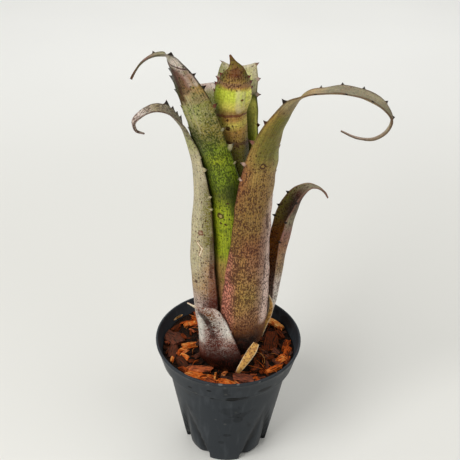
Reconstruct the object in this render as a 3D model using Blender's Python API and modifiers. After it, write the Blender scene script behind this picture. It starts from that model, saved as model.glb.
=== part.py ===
"""Young bromeliad with eight toothed strap leaves in a black nursery pot filled with bark."""

import math
import random

import bmesh
import bpy
import numpy as np
from mathutils import Matrix, Vector

MM = 0.001

# The pot's axis, seen from the point under the middle of the whole plant's outline
POT_X = -12.97
POT_Y = 0.0

# Pot
RIM_RADIUS = 50.2
RIM_TOP = 92.0
RIM_INNER_RADIUS = 48.7
BAND_TOP_RADIUS = 49.6
BAND_TOP = 89.6
BAND_BOTTOM_RADIUS = 46.0
BAND_BOTTOM = 75.4
BODY_TOP_RADIUS = 42.8
BODY_TOP = 75.0
BASE_RADIUS = 29.6
WALL = 1.3
FLOOR_UNDERSIDE = 2.6
FLOOR_TOP = 4.2
FOOT_INNER_RADIUS = 24.4
PANEL_DEPTH = 2.2
PANEL_TOP = 58.0
FOOT_HALF_ANGLE = 20.0
FOOT_BLEND_ANGLE = 8.0
FRONT_FOOT_ANGLE = -92.0
AROUND = 48
DRAIN_RADIUS = 2.6
DRAIN_RING_RADIUS = 17.0

# Growing mix and stem
SEAT_GAP = 0.45
MIX_TOP = 82.6
MIX_RADIUS = 45.6
PLANT_X = 3.0
PLANT_Y = -3.0
STEM_HOLE_RADIUS = 7.25
STEM_FOOT = 60.0
CHIP_SEED = 7

# Leaves
LEAF_COLUMNS = 5
LEAF_MID = 1.6
LEAF_EDGE = 0.7
ROW_SAG = 0.6
LONGEST_ROW = 18.0
TOOTH_HALF_BASE = 1.3

# x, y, z, half width, half angle of the channel, heading of the width, all along the spine
LEAF_RIGHT_LONG = (
    (6.1, -9.65, 87, 6, 25, 25),
    (8.5, -16.5, 89.5, 11, 42, 22),
    (10.5, -20.5, 96, 15, 52, 20),
    (11.8, -22.3, 110, 18, 55, 18),
    (12.5, -22.5, 135, 18.3, 55, 16),
    (13.2, -21.6, 160, 16.4, 50, 17),
    (14.2, -20.5, 180, 14.6, 48, 19),
    (15.4, -21.1, 211, 13.2, 45, 20),
    (17.5, -21.6, 232, 11.8, 42, 20),
    (20.2, -23, 247, 11, 40, 22),
    (23.5, -25, 261, 9.5, 38, 28),
    (28, -27, 275, 8, 38, 40),
    (32, -29, 283, 7, 34, 50),
    (38, -31, 287, 5, 30, 65),
    (45, -34, 289.5, 5.5, 30, 75),
    (58.7, -38, 291.5, 6.5, 32, 76),
    (71.4, -42, 290, 6, 32, 78),
    (79.5, -45, 286.5, 4.6, 30, 80),
    (84, -47, 280, 1.9, 30, 84),
    (82, -47, 273.5, 1.6, 30, 86),
    (76.5, -46, 269, 1.5, 30, 86),
    (69, -44, 267.5, 1.2, 30, 86),
    (58.5, -40, 270, 0.5, 30, 86),
)
LEAF_LEFT_TALL = (
    (-0.9, -9.75, 91, 6, 30, 330),
    (-2.2, -12.3, 96, 11, 55, 330),
    (-3.2, -13.2, 104, 15, 75, 330),
    (-3.5, -13.5, 120, 17, 80, 330),
    (-4, -13.5, 150, 16.5, 75, 330),
    (-4.6, -13.8, 185, 15, 62, 332),
    (-7, -14, 216, 13.5, 52, 338),
    (-10.7, -14, 235, 11.7, 47, 342),
    (-16.2, -14, 251, 11, 45, 345),
    (-22, -14, 270, 10.5, 42, 345),
    (-26.3, -14, 280, 8.8, 40, 340),
    (-31, -14.5, 290, 6.6, 38, 318),
    (-35.3, -15.5, 297.5, 4.8, 34, 292),
    (-40, -16.5, 301.3, 3.2, 30, 284),
    (-45, -17.5, 301.5, 2.2, 30, 282),
    (-50.5, -19, 298, 1.6, 30, 282),
    (-54, -20, 293.5, 1.1, 30, 282),
    (-56.5, -21, 289.2, 0.5, 30, 282),
)
LEAF_LEFT_ARCHED = (
    (-4, -4.9, 87, 6, 25, 285),
    (-13, -6.5, 89.5, 12, 45, 286),
    (-17.5, -7, 97, 16, 65, 288),
    (-20.5, -7, 110, 18.5, 78, 289),
    (-22.5, -7, 130, 19, 84, 290),
    (-24, -7.5, 158, 18, 85, 290),
    (-23.5, -7, 186, 16, 80, 290),
    (-22, -4.5, 215, 12.5, 45, 290),
    (-24, -4, 233, 10.4, 32, 290),
    (-27.6, -4, 246, 9.2, 26, 290),
    (-32.3, -4.5, 256, 8, 24, 288),
    (-38.5, -6, 263, 6.8, 26, 284),
    (-46.5, -8, 265, 5.6, 30, 282),
    (-53.5, -10, 262, 4.4, 34, 282),
    (-57.3, -11.3, 257.5, 3, 34, 282),
    (-56.2, -12, 253.5, 1.7, 30, 282),
    (-51.5, -12, 251.5, 0.5, 30, 282),
)
LEAF_RIGHT_SHORT = (
    (9.8, -0.55, 87, 6, 25, 110),
    (18, 3, 89.5, 10, 45, 112),
    (22.5, 5, 96, 11.5, 55, 112),
    (26, 6, 106, 12, 60, 112),
    (30, 6.3, 120, 12.5, 66, 111),
    (33, 6.5, 140, 13.5, 76, 109),
    (35.2, 6.4, 158, 14, 82, 106),
    (37.7, 6, 175, 14, 84, 104),
    (41, 6.5, 192, 12.5, 75, 104),
    (45, 7, 201, 10, 60, 104),
    (50.5, 8, 205, 7, 50, 104),
    (56, 9, 203, 4, 40, 104),
    (59.5, 10, 198.5, 1.8, 34, 104),
    (61.3, 10.5, 194.5, 0.5, 30, 104),
)
LEAF_HEART = (
    (3, -9, 97, 5, 35, 0),
    (3, -9.3, 103, 10, 75, 0),
    (3, -9.5, 112, 13.5, 100, 0),
    (3, -9.5, 140, 14, 105, 0),
    (3, -9.5, 185, 13.5, 95, 0),
    (2.5, -8, 220, 12.5, 85, 0),
    (1.8, -5.5, 245, 12, 72, 0),
    (0.5, -4.5, 262, 12.5, 64, 0),
    (-0.3, -4.2, 275, 13, 60, 0),
    (0.3, -3.6, 283, 9.8, 56, 0),
    (1.2, -2.8, 289, 5.5, 50, 0),
    (0.6, -2, 293, 2.3, 40, 0),
    (-0.8, -1.2, 295.6, 1.2, 34, 0),
    (-2.4, -0.6, 297.6, 0.5, 30, 0),
)
LEAF_BACK = (
    (3.6, 4.3, 94, 6, 30, 175),
    (4, 6.5, 99, 11, 60, 175),
    (4.2, 8, 107, 14, 78, 175),
    (4.5, 9, 130, 15.5, 82, 175),
    (5, 11, 170, 16, 76, 175),
    (5, 13, 215, 16, 66, 176),
    (4, 14.5, 250, 15.5, 50, 177),
    (3, 16.5, 265, 14, 38, 178),
    (2.8, 20.5, 275, 12.8, 32, 178),
    (2.8, 26, 278.5, 11, 28, 178),
    (2.8, 33, 275, 8.5, 28, 178),
    (2.8, 38, 266, 6, 28, 178),
    (2.8, 40, 255, 3.2, 28, 178),
    (2.7, 38, 245, 1.3, 28, 178),
    (2.6, 33.5, 239.5, 0.5, 28, 178),
)
LEAF_BACK_LEFT = (
    (-2.2, 2.8, 91, 6, 30, 222),
    (-5.2, 6, 96, 10.4, 50, 222),
    (-7.3, 8.1, 104, 13.8, 64, 222),
    (-8.5, 9, 120, 15.5, 68, 222),
    (-10.5, 11.5, 160, 15, 62, 222),
    (-12.5, 13.5, 205, 14.5, 55, 222),
    (-14.5, 15.5, 237, 13, 46, 218),
    (-16.5, 18, 254, 11, 38, 212),
    (-19, 22.5, 263.5, 9, 34, 208),
    (-21.5, 28.5, 263.5, 7, 32, 206),
    (-23.5, 33.5, 256, 5, 30, 206),
    (-24.5, 36, 245, 3, 30, 206),
    (-24.5, 35, 235, 1.3, 30, 206),
    (-23, 31.5, 229, 0.5, 30, 206),
)
LEAF_OUTER_STUB = (
    (0.45, -10, 84.8, 6, 15, 340),
    (-2.5, -18, 85, 10, 22, 340),
    (-4.2, -22.6, 87.3, 14, 38, 340),
    (-6.5, -25.5, 97, 15, 48, 338),
    (-10, -25, 112, 12.5, 46, 335),
    (-14, -23, 125, 10, 42, 332),
    (-18.5, -21.5, 132.5, 5, 38, 330),
    (-22.5, -20.5, 135.5, 1.6, 32, 330),
    (-25, -20, 137.3, 0.5, 30, 330),
)
SHEATH_SCRAP = (
    (3, -30.4, 86.4, 2.2, 20, 0),
    (6, -30.2, 88.8, 3.4, 30, 0),
    (11, -29, 94.6, 4, 34, 352),
    (15.9, -26.4, 100.7, 3.4, 34, 346),
    (18.8, -23.6, 105.6, 2, 30, 342),
    (19.8, -22.2, 107.6, 0.6, 30, 340),
)
FIBRE_STRIP = (
    (22.3, -8.3, 100, 0.9, 20, 300),
    (22.9, -8.4, 106, 1.3, 30, 300),
    (24.2, -8.4, 113, 1.6, 30, 300),
    (26.6, -8, 119, 1.6, 30, 300),
    (27.8, -7.9, 125, 1.4, 30, 300),
    (26.9, -8.1, 131, 1, 30, 300),
    (26, -8.3, 134, 0.5, 30, 300),
)

# side of the blade, distance along the spine, length, lean towards the tip
TEETH_RIGHT_LONG = (
    (-1, 146, 1.4, 0.3),
    (-1, 157, 3.2, -0.1),
    (-1, 172, 3.4, 0.1),
    (-1, 186, 2.4, 0.3),
    (-1, 203, 3.4, 0.3),
    (-1, 220, 1.2, 0.2),
    (-1, 236, 1.2, 0.2),
    (-1, 250, 1.2, 0.2),
    (1, 132, 1.5, 0.3),
    (1, 150, 2, 0.3),
    (1, 168, 2.2, 0.3),
    (1, 186, 2.2, 0.3),
    (1, 220, 1.8, -0.3),
    (1, 232, 1.8, -0.3),
    (1, 243, 1.8, -0.3),
    (1, 256, 2, 0),
)
TEETH_LEFT_TALL = (
    (-1, 134, 1.4, 0.3),
    (-1, 150, 2, 0.3),
    (-1, 167, 2.2, 0.3),
    (-1, 182, 2.2, 0.3),
    (-1, 195, 1.2, 0.3),
    (-1, 202, 2.6, 0),
    (-1, 215, 3.4, 0.2),
    (-1, 221.5, 1.8, 0),
    (1, 132, 1.4, 0.3),
    (1, 142, 1.8, 0.2),
    (1, 151, 4.4, 0.1),
    (1, 164, 2.8, 0),
    (1, 179, 3, 0.2),
    (1, 190, 2.6, 0),
    (1, 200, 2, 0),
    (1, 212, 2.6, 0),
)
TEETH_LEFT_ARCHED = (
    (-1, 112, 1.4, 0.3),
    (-1, 130, 1.8, 0.3),
    (-1, 148, 2, 0.3),
    (-1, 166, 2, 0.2),
    (-1, 188, 1.6, 0),
    (1, 124, 1.2, 0.2),
    (1, 132, 1.6, 0.2),
    (1, 150, 3.2, 0.1),
    (1, 157.5, 1.2, 0.2),
    (1, 169, 1.2, 0.2),
    (1, 182, 3, 0.1),
    (1, 189, 3, 0),
)
TEETH_RIGHT_SHORT = (
    (-1, 96, 1.4, 0.2),
    (-1, 110, 1.6, 0.2),
    (-1, 123, 1.4, 0.2),
    (1, 92, 1.4, 0.2),
    (1, 104, 2, 0.2),
    (1, 112, 1.8, 0.1),
    (1, 122, 1.8, 0),
)
TEETH_HEART = (
    (-1, 180, 1.2, 0.4),
    (-1, 187, 1, 0.4),
    (1, 176, 1.2, 0.4),
    (1, 184, 1.2, 0.4),
)
TEETH_BACK = (
    (1, 140, 1.6, 0.3),
    (1, 155, 2, 0.3),
    (1, 170, 2.2, 0.3),
    (1, 181, 1.4, 0.2),
    (1, 191, 2.2, 0.2),
    (-1, 155, 2.6, 0.2),
    (-1, 173, 3.4, 0),
    (-1, 181, 2.2, 0.1),
    (-1, 189, 2, 0.2),
)
TEETH_BACK_LEFT = (
    (-1, 140, 1.8, 0.3),
    (-1, 157, 2, 0.3),
    (-1, 172, 1.8, 0.2),
    (-1, 186, 1.4, 0),
    (1, 140, 1.8, 0.3),
    (1, 157, 2, 0.3),
    (1, 172, 1.8, 0.2),
    (1, 186, 1.4, 0),
)
TEETH_OUTER_STUB = (
    (-1, 50, 1.6, 0.4),
    (1, 48, 1.2, 0.4),
)

# x, y, length, width, thickness, turn, pitch, height of the centre above the mix
CHIPS = (
    (-17, -33, 21, 8.5, 4, -25, 4, 1.0),
    (-21.5, -26.5, 16, 5.5, 4.5, -18, -3, 1.0),
    (-13, -40, 9, 4, 4, -16, 6, 1.2),
    (-2.5, -40, 13, 6, 4, -8, 5, 1.0),
    (8.5, -38.5, 12, 8, 4.5, 12, -4, 1.2),
    (18.5, -37.5, 7, 4, 3.5, 28, 8, 1.0),
    (24.5, -32, 15, 5.5, 4, 34, -6, 1.4),
    (31.5, -25, 11, 7, 5, 50, 8, 1.8),
    (36, -17.5, 11, 6, 4, 74, -8, 1.2),
    (26.5, -19.5, 11, 6.5, 4, -20, 6, 1.2),
    (17, -31.5, 12, 5.5, 3.5, 60, -5, 1.0),
    (28.5, 12, 15, 8.5, 4.5, -24, 6, 1.6),
    (38, 3, 13, 7, 4, 82, -5, 1.4),
    (31.5, -5.5, 9, 6, 4, 24, 5, 1.0),
    (-31, -19.5, 12, 8, 4.5, -58, 7, 1.4),
    (-38.5, -8, 12, 7, 4, 84, -6, 1.0),
    (-29.5, -8.5, 9, 6, 4, 30, 5, 1.0),
    (-33.5, 3.5, 15, 9, 4.5, -68, -5, 1.4),
    (-28.5, 16.5, 14, 8, 4, 40, 6, 1.2),
    (-18, 28, 16, 8.5, 4.5, 12, -6, 1.4),
    (-37, 16.5, 9, 6, 4, 58, 8, 1.0),
    (-3, 33.5, 15, 9, 4, -16, 5, 1.2),
    (13, 32, 14, 8, 4.5, 34, -6, 1.6),
    (26.5, 27.5, 15, 7.5, 4, -48, 5, 1.2),
    (35.5, 15.5, 11, 7, 4.5, -60, 7, 1.4),
    (4, 40.5, 11, 5, 4, 4, 6, 1.0),
    (-30, -27.5, 8, 5, 3.5, -40, 6, 1.0),
    (40.8, -6.5, 8, 5, 3.5, 82, 5, 1.2),
    (-12, 38.5, 9, 5, 3.5, 18, -5, 1.0),
    (18.5, 37.5, 8, 5, 3.5, -26, 6, 1.0),
    (-41.5, 1.5, 8, 4, 3.5, 88, 5, 1.0),
    (-7.5, 24.5, 10, 6.5, 4, 56, 6, 1.2),
    (18.5, 19.5, 9, 6, 4, -36, -5, 1.0),
)
CHIP_CORNER_JITTER = 0.16


def clear_scene():
    """Empties the scene."""
    for old in list(bpy.data.objects):
        bpy.data.objects.remove(old, do_unlink=True)


def material(name, colour, roughness):
    """A plain Principled material."""
    made = bpy.data.materials.new(name)
    made.use_nodes = True
    shader = made.node_tree.nodes["Principled BSDF"]
    shader.inputs["Base Color"].default_value = (*colour, 1.0)
    shader.inputs["Roughness"].default_value = roughness
    return made


def new_object(name, points, faces, finish=None, collection=None):
    """An object from points in millimetres."""
    mesh = bpy.data.meshes.new(name)
    placed = [(MM * (x + POT_X), MM * (y + POT_Y), MM * z) for x, y, z in points]
    mesh.from_pydata(placed, [], [tuple(f) for f in faces])
    mesh.validate()
    if finish:
        mesh.materials.append(finish)
    made = bpy.data.objects.new(name, mesh)
    (collection or bpy.context.scene.collection).objects.link(made)
    return made


def smoothstep(x):
    """Eased step from 0 to 1."""
    x = min(max(x, 0.0), 1.0)
    return x * x * (3 - 2 * x)


def panel_share(angle, z):
    """How far a direction in degrees lies in a sunk panel between two feet: 0 to 1."""
    if z >= PANEL_TOP:
        return 0.0
    off = (angle - FRONT_FOOT_ANGLE + 45.0) % 90.0 - 45.0
    half = FOOT_HALF_ANGLE + (45.0 - FOOT_HALF_ANGLE) * max(z, 0.0) / PANEL_TOP
    return smoothstep((abs(off) - half) / FOOT_BLEND_ANGLE)


def body_radius(angle, z):
    """Outer radius of the tapered body."""
    radius = BASE_RADIUS + (BODY_TOP_RADIUS - BASE_RADIUS) * z / BODY_TOP
    depth = PANEL_DEPTH * max(0.0, 1.0 - z / PANEL_TOP)
    return radius - depth * panel_share(angle, z)


def lathe_loft(name, rings, finish):
    """Solid through rings of (radius of angle, height of angle), closed by a point at each end."""
    angles = [360.0 * k / AROUND for k in range(AROUND)]
    points = [(0.0, 0.0, rings[0][1](0.0))]
    for radius, height in rings[1:-1]:
        for angle in angles:
            a = math.radians(angle)
            r = radius(angle)
            points.append((r * math.cos(a), r * math.sin(a), height(angle)))
    points.append((0.0, 0.0, rings[-1][1](0.0)))
    last = len(points) - 1
    faces = []
    for k in range(AROUND):
        n = (k + 1) % AROUND
        faces.append((0, 1 + n, 1 + k))
        for row in range(len(rings) - 3):
            low = 1 + row * AROUND
            high = low + AROUND
            faces.append((low + k, low + n, high + n, high + k))
        top = 1 + (len(rings) - 3) * AROUND
        faces.append((top + k, top + n, last))
    return new_object(name, points, faces, finish)


def ring(radius, z):
    """One ring with a fixed radius and height."""
    return (lambda angle: radius, lambda angle: z)


def body_ring(z, inset=0.0):
    """One ring that follows the body, set in by a distance."""
    return (lambda angle: body_radius(angle, z) - inset, lambda angle: z)


def mix_ring(z):
    """One ring of the mix, clear of the wall at the flanks of the feet too."""
    step = 360.0 / AROUND

    def radius(angle):
        nearby = (angle - step, angle, angle + step)
        return min(body_radius(a, z) for a in nearby) - WALL - SEAT_GAP

    return (radius, lambda angle: z)


def foot_height(angle):
    """Underside of the lowest wall: on the ground at a foot, raised between."""
    return FLOOR_UNDERSIDE * panel_share(angle, 0.0)


def cylinder_cutter(name, radius, x, y, low, high, collection):
    """Upright cylinder used as a Boolean cutter."""
    bpy.ops.mesh.primitive_cylinder_add(
        vertices=16,
        radius=radius * MM,
        depth=(high - low) * MM,
        location=((x + POT_X) * MM, (y + POT_Y) * MM, (low + high) / 2 * MM),
    )
    cutter = bpy.context.object
    cutter.name = name
    cutter.hide_render = True
    cutter.display_type = "WIRE"
    for home in list(cutter.users_collection):
        home.objects.unlink(cutter)
    collection.objects.link(cutter)
    return cutter


def apply_boolean(target, operation, collection):
    """One Boolean with a whole collection, applied."""
    step = target.modifiers.new("join", "BOOLEAN")
    step.operation = operation
    step.operand_type = "COLLECTION"
    step.collection = collection
    step.solver = "MANIFOLD"
    bpy.context.view_layer.objects.active = target
    bpy.ops.object.modifier_apply(modifier=step.name)
    for used in list(collection.objects):
        bpy.data.objects.remove(used, do_unlink=True)
    bpy.data.collections.remove(collection)


def helper_collection(name):
    """Collection for cutters and pieces that are joined into another."""
    made = bpy.data.collections.new(name)
    made.hide_render = True
    bpy.context.scene.collection.children.link(made)
    return made


def build_pot(finish):
    """Pot with a rim band, tapered body, four feet, sunk panels and drain holes."""
    wall = [body_ring(z) for z in (14.0, 30.0, 45.0, PANEL_TOP, BODY_TOP)]
    inside = [body_ring(z, WALL) for z in (PANEL_TOP, 45.0, 30.0, 14.0, FLOOR_TOP)]
    rings = [ring(0.0, FLOOR_UNDERSIDE)]
    rings.append(ring(FOOT_INNER_RADIUS - 1.0, FLOOR_UNDERSIDE))
    rings.append((lambda angle: FOOT_INNER_RADIUS, foot_height))
    rings.append((lambda angle: body_radius(angle, 0.0), foot_height))
    rings.extend(wall)
    rings.append(ring(BAND_BOTTOM_RADIUS, BAND_BOTTOM))
    rings.append(ring(BAND_TOP_RADIUS, BAND_TOP))
    rings.append(ring(RIM_RADIUS, RIM_TOP - 1.6))
    rings.append(ring(RIM_RADIUS, RIM_TOP - 0.6))
    rings.append(ring(RIM_RADIUS - 0.6, RIM_TOP))
    rings.append(ring(RIM_INNER_RADIUS, RIM_TOP))
    rings.append(ring(RIM_INNER_RADIUS - 0.5, RIM_TOP - 1.6))
    rings.append(ring(BAND_BOTTOM_RADIUS - WALL, BAND_BOTTOM + 1.2))
    rings.append(ring(BODY_TOP_RADIUS - WALL - 0.2, BODY_TOP - 1.2))
    rings.extend(inside)
    rings.append(ring(0.0, FLOOR_TOP))
    pot = lathe_loft("pot", rings, finish)
    drains = helper_collection("drains")
    for k in range(4):
        angle = math.radians(FRONT_FOOT_ANGLE + 45.0 + 90.0 * k)
        x = DRAIN_RING_RADIUS * math.cos(angle)
        y = DRAIN_RING_RADIUS * math.sin(angle)
        cylinder_cutter(f"drain_{k}", DRAIN_RADIUS, x, y, 1.0, 6.0, drains)
    cylinder_cutter("drain_middle", DRAIN_RADIUS, 0.0, 0.0, 1.0, 6.0, drains)
    apply_boolean(pot, "DIFFERENCE", drains)
    return pot


def add_chip(number, values, rng, collection):
    """Angular flake of bark, sunk in the mix."""
    x, y, length, width, thickness, turn, pitch, height = values
    mesh = bpy.data.meshes.new(f"chip_{number}")
    shape = bmesh.new()
    bmesh.ops.create_cube(shape, size=1.0)
    for vert in shape.verts:
        for axis in range(3):
            vert.co[axis] *= 1.0 + CHIP_CORNER_JITTER * rng.uniform(-1.0, 1.0)
        vert.co = (vert.co.x * length, vert.co.y * width, vert.co.z * thickness)
    bmesh.ops.triangulate(shape, faces=shape.faces)
    place = (
        Matrix.Translation(Vector((x + POT_X, y + POT_Y, MIX_TOP + height - thickness / 2 + 1.0)))
        @ Matrix.Rotation(math.radians(turn), 4, "Z")
        @ Matrix.Rotation(math.radians(pitch), 4, "Y")
    )
    bmesh.ops.transform(shape, matrix=Matrix.Scale(MM, 4) @ place, verts=shape.verts)
    shape.to_mesh(mesh)
    shape.free()
    collection.objects.link(bpy.data.objects.new(f"chip_{number}", mesh))


def build_mix(finish):
    """Growing mix that fills the pot, with bark on top and a hole for the stem."""
    inset = WALL + SEAT_GAP
    rings = [ring(0.0, FLOOR_TOP + SEAT_GAP)]
    rings.extend(mix_ring(z) for z in (FLOOR_TOP + SEAT_GAP, 14.0, 30.0, 45.0, PANEL_TOP))
    rings.append(ring(BODY_TOP_RADIUS - inset - 0.2, BODY_TOP - 1.2))
    rings.append(ring(BAND_BOTTOM_RADIUS - inset - 0.1, BAND_BOTTOM + 2.2))
    rings.append(ring(MIX_RADIUS, MIX_TOP))
    rings.append(ring(0.0, MIX_TOP))
    mix = lathe_loft("potting_mix", rings, finish)
    rng = random.Random(CHIP_SEED)
    bark = helper_collection("bark")
    for number, values in enumerate(CHIPS):
        add_chip(number, values, rng, bark)
    apply_boolean(mix, "UNION", bark)
    hole = helper_collection("hole")
    cylinder_cutter(
        "stem_hole", STEM_HOLE_RADIUS, PLANT_X, PLANT_Y, STEM_FOOT - SEAT_GAP, RIM_TOP, hole
    )
    apply_boolean(mix, "DIFFERENCE", hole)
    return mix


def build_stem(finish):
    """Short tapered stem that carries the leaf bases."""
    profile = (
        (0.0, 103.0),
        (2.8, 102.0),
        (4.6, 97.5),
        (6.3, 94.0),
        (6.7, 90.0),
        (6.7, STEM_FOOT),
        (0.0, STEM_FOOT),
    )
    points = [(r, 0.0, z) for r, z in profile]
    edges = [(k, k + 1) for k in range(len(points) - 1)]
    mesh = bpy.data.meshes.new("stem")
    mesh.from_pydata([tuple(MM * c for c in p) for p in points], edges, [])
    mesh.materials.append(finish)
    stem = bpy.data.objects.new("stem", mesh)
    stem.location = ((PLANT_X + POT_X) * MM, (PLANT_Y + POT_Y) * MM, 0.0)
    bpy.context.scene.collection.objects.link(stem)
    screw = stem.modifiers.new("turn", "SCREW")
    screw.steps = 20
    screw.render_steps = 20
    screw.use_merge_vertices = True
    screw.merge_threshold = 0.00001
    return stem


def hermite(knots, values, at):
    """Smooth curve through rows of values, read at distances along it."""
    spans = np.diff(knots)
    steps = np.diff(values, axis=0) / spans[:, None]
    slopes = np.zeros_like(values)
    inner = steps[:-1] * spans[1:, None] + steps[1:] * spans[:-1, None]
    slopes[1:-1] = inner / (spans[:-1] + spans[1:])[:, None]
    slopes[0] = steps[0]
    slopes[-1] = steps[-1]
    i = np.clip(np.searchsorted(knots, at, side="right") - 1, 0, len(knots) - 2)
    h = spans[i][:, None]
    t = ((at - knots[i]) / spans[i])[:, None]
    start = (2 * t**3 - 3 * t**2 + 1) * values[i] + (t**3 - 2 * t**2 + t) * h * slopes[i]
    end = (3 * t**2 - 2 * t**3) * values[i + 1] + (t**3 - t**2) * h * slopes[i + 1]
    return start + end


class Blade:
    """Channelled leaf along a spine."""

    def __init__(self, stations):
        self.values = np.array(stations, float)
        steps = np.linalg.norm(np.diff(self.values[:, :3], axis=0), axis=1)
        self.knots = np.concatenate([[0.0], np.cumsum(steps)])
        self.length = self.knots[-1]

    def at(self, distance):
        """Station values at distances along the spine."""
        inside = np.clip(np.asarray(distance, float), 0.0, self.length)
        return hermite(self.knots, self.values, inside)

    def surface(self, distance, across):
        """Middle surface, its inner normal, its outward tangent and the spine's direction."""
        distance = np.asarray(distance, float)
        row = self.at(distance)
        along = self.at(distance + 0.25)[:, :3] - self.at(distance - 0.25)[:, :3]
        along /= np.linalg.norm(along, axis=1)[:, None]
        heading = np.radians(row[:, 5])
        wide = np.stack([np.cos(heading), np.sin(heading), np.zeros_like(heading)], 1)
        wide -= (wide * along).sum(1)[:, None] * along
        wide /= np.linalg.norm(wide, axis=1)[:, None]
        inner = np.cross(along, wide)
        curl = np.radians(np.maximum(row[:, 4], 1.0))
        radius = row[:, 3] / curl
        turn = across * curl
        sine = np.sin(turn)[:, None]
        cosine = np.cos(turn)[:, None]
        point = row[:, :3] + radius[:, None] * (sine * wide + (1 - cosine) * inner)
        return point, cosine * inner - sine * wide, cosine * wide + sine * inner, along


def bend_rows(blade):
    """Distances along a blade, closer together where it bends."""
    rows = [0.0]

    def split(a, b, depth):
        worst = 0.0
        for across in (-1.0, 0.0, 1.0):
            p = blade.surface([a, (a + b) / 2, b], np.full(3, across))[0]
            worst = max(worst, np.linalg.norm(p[1] - (p[0] + p[2]) / 2))
        if depth < 4 and (worst > ROW_SAG or b - a > LONGEST_ROW):
            split(a, (a + b) / 2, depth + 1)
            split((a + b) / 2, b, depth + 1)
        else:
            rows.append(b)

    for low, high in zip(blade.knots[:-1], blade.knots[1:]):
        split(low, high, 0)
    return rows


def blade_rows(blade, teeth):
    """Rows of a blade with the extra ones that its teeth need."""
    extra = []
    for _, distance, length, _ in teeth:
        half = TOOTH_HALF_BASE * max(0.6, length / 4)
        extra += [distance - half, distance, distance + 0.8 * half]
    spaced = []
    for value in sorted(extra):
        if not spaced or value - spaced[-1] >= 0.45:
            spaced.append(value)
    rows = bend_rows(blade)
    ends = (rows[0], rows[-1])
    kept = [r for r in rows if r in ends or all(abs(r - value) > 2.6 for value in spaced)]
    merged = sorted(set(kept + spaced))
    return np.array([r for r in merged if 0.0 <= r <= blade.length])


def add_leaf(name, stations, teeth, finish, middle=LEAF_MID):
    """Solid blade with teeth drawn out of its margins."""
    blade = Blade(stations)
    rows = blade_rows(blade, teeth)
    count = len(rows)
    widths = blade.at(rows)[:, 3]
    fullness = np.minimum(1.0, 0.35 + widths / 10.0)
    faces_of_blade = np.zeros((2, count, LEAF_COLUMNS, 3))
    for j, across in enumerate(np.linspace(-1.0, 1.0, LEAF_COLUMNS)):
        point, normal, _, _ = blade.surface(rows, np.full(count, across))
        half = (LEAF_EDGE + (middle - LEAF_EDGE) * (1 - across**2) * fullness)[:, None] / 2
        faces_of_blade[0, :, j] = point + normal * half
        faces_of_blade[1, :, j] = point - normal * half
    for side, distance, length, lean in teeth:
        i = int(np.argmin(abs(rows - distance)))
        _, _, outward, along = blade.surface(rows[i : i + 1], np.array([float(side)]))
        way = side * outward[0] + lean * along[0]
        faces_of_blade[:, i, 0 if side < 0 else -1] += way / np.linalg.norm(way) * length
    points = faces_of_blade.reshape(-1, 3)
    return new_object(name, points, blade_faces(count, LEAF_COLUMNS), finish)


def blade_faces(count, columns):
    """Triangles of a closed blade, split alike on both faces."""

    def index(face, i, j):
        return (face * count + i) * columns + j

    faces = []
    for i in range(count - 1):
        for j in range(columns - 1):
            inner = [index(0, i, j), index(0, i + 1, j), index(0, i + 1, j + 1), index(0, i, j + 1)]
            outer = [index(1, i, j), index(1, i + 1, j), index(1, i + 1, j + 1), index(1, i, j + 1)]
            faces += [(inner[0], inner[1], inner[2]), (inner[0], inner[2], inner[3])]
            faces += [(outer[0], outer[2], outer[1]), (outer[0], outer[3], outer[2])]
    strips = []
    for i in range(count - 1):
        strips.append([index(1, i, 0), index(1, i + 1, 0), index(0, i + 1, 0), index(0, i, 0)])
        last = columns - 1
        far = [index(0, i, last), index(0, i + 1, last), index(1, i + 1, last), index(1, i, last)]
        strips.append(far)
    for j in range(columns - 1):
        strips.append([index(0, 0, j), index(0, 0, j + 1), index(1, 0, j + 1), index(1, 0, j)])
        end = count - 1
        far = [index(1, end, j), index(1, end, j + 1), index(0, end, j + 1), index(0, end, j)]
        strips.append(far)
    for a, b, c, d in strips:
        faces += [(a, b, c), (a, c, d)]
    return faces


def main():
    """Builds every piece."""
    clear_scene()
    plastic = material("black_plastic", (0.035, 0.037, 0.04), 0.45)
    bark = material("bark_mix", (0.16, 0.07, 0.035), 0.9)
    stalk = material("stem_tissue", (0.25, 0.16, 0.08), 0.7)
    mauve = material("leaf_mauve", (0.36, 0.27, 0.24), 0.55)
    olive = material("leaf_olive", (0.3, 0.3, 0.13), 0.5)
    green = material("leaf_green", (0.27, 0.36, 0.13), 0.5)
    dry = material("dry_sheath", (0.62, 0.42, 0.2), 0.8)
    build_pot(plastic)
    build_mix(bark)
    build_stem(stalk)
    add_leaf("leaf_outer_stub", LEAF_OUTER_STUB, TEETH_OUTER_STUB, mauve)
    add_leaf("leaf_right_long", LEAF_RIGHT_LONG, TEETH_RIGHT_LONG, mauve)
    add_leaf("leaf_left_arched", LEAF_LEFT_ARCHED, TEETH_LEFT_ARCHED, mauve)
    add_leaf("leaf_right_short", LEAF_RIGHT_SHORT, TEETH_RIGHT_SHORT, olive)
    add_leaf("leaf_left_tall", LEAF_LEFT_TALL, TEETH_LEFT_TALL, green)
    add_leaf("leaf_back_left", LEAF_BACK_LEFT, TEETH_BACK_LEFT, green)
    add_leaf("leaf_back", LEAF_BACK, TEETH_BACK, green)
    add_leaf("leaf_heart", LEAF_HEART, TEETH_HEART, green)
    add_leaf("sheath_scrap", SHEATH_SCRAP, (), dry, middle=0.9)
    add_leaf("fibre_strip", FIBRE_STRIP, (), dry, middle=0.9)


main()
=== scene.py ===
"""Looks of a young potted bromeliad in a nursery pot, in soft studio light."""

import logging
import math
import random
from collections.abc import Sequence
from dataclasses import dataclass, field
from enum import Enum

import bmesh
import bpy
import numpy as np
from mathutils import Matrix, Vector, noise


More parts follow.
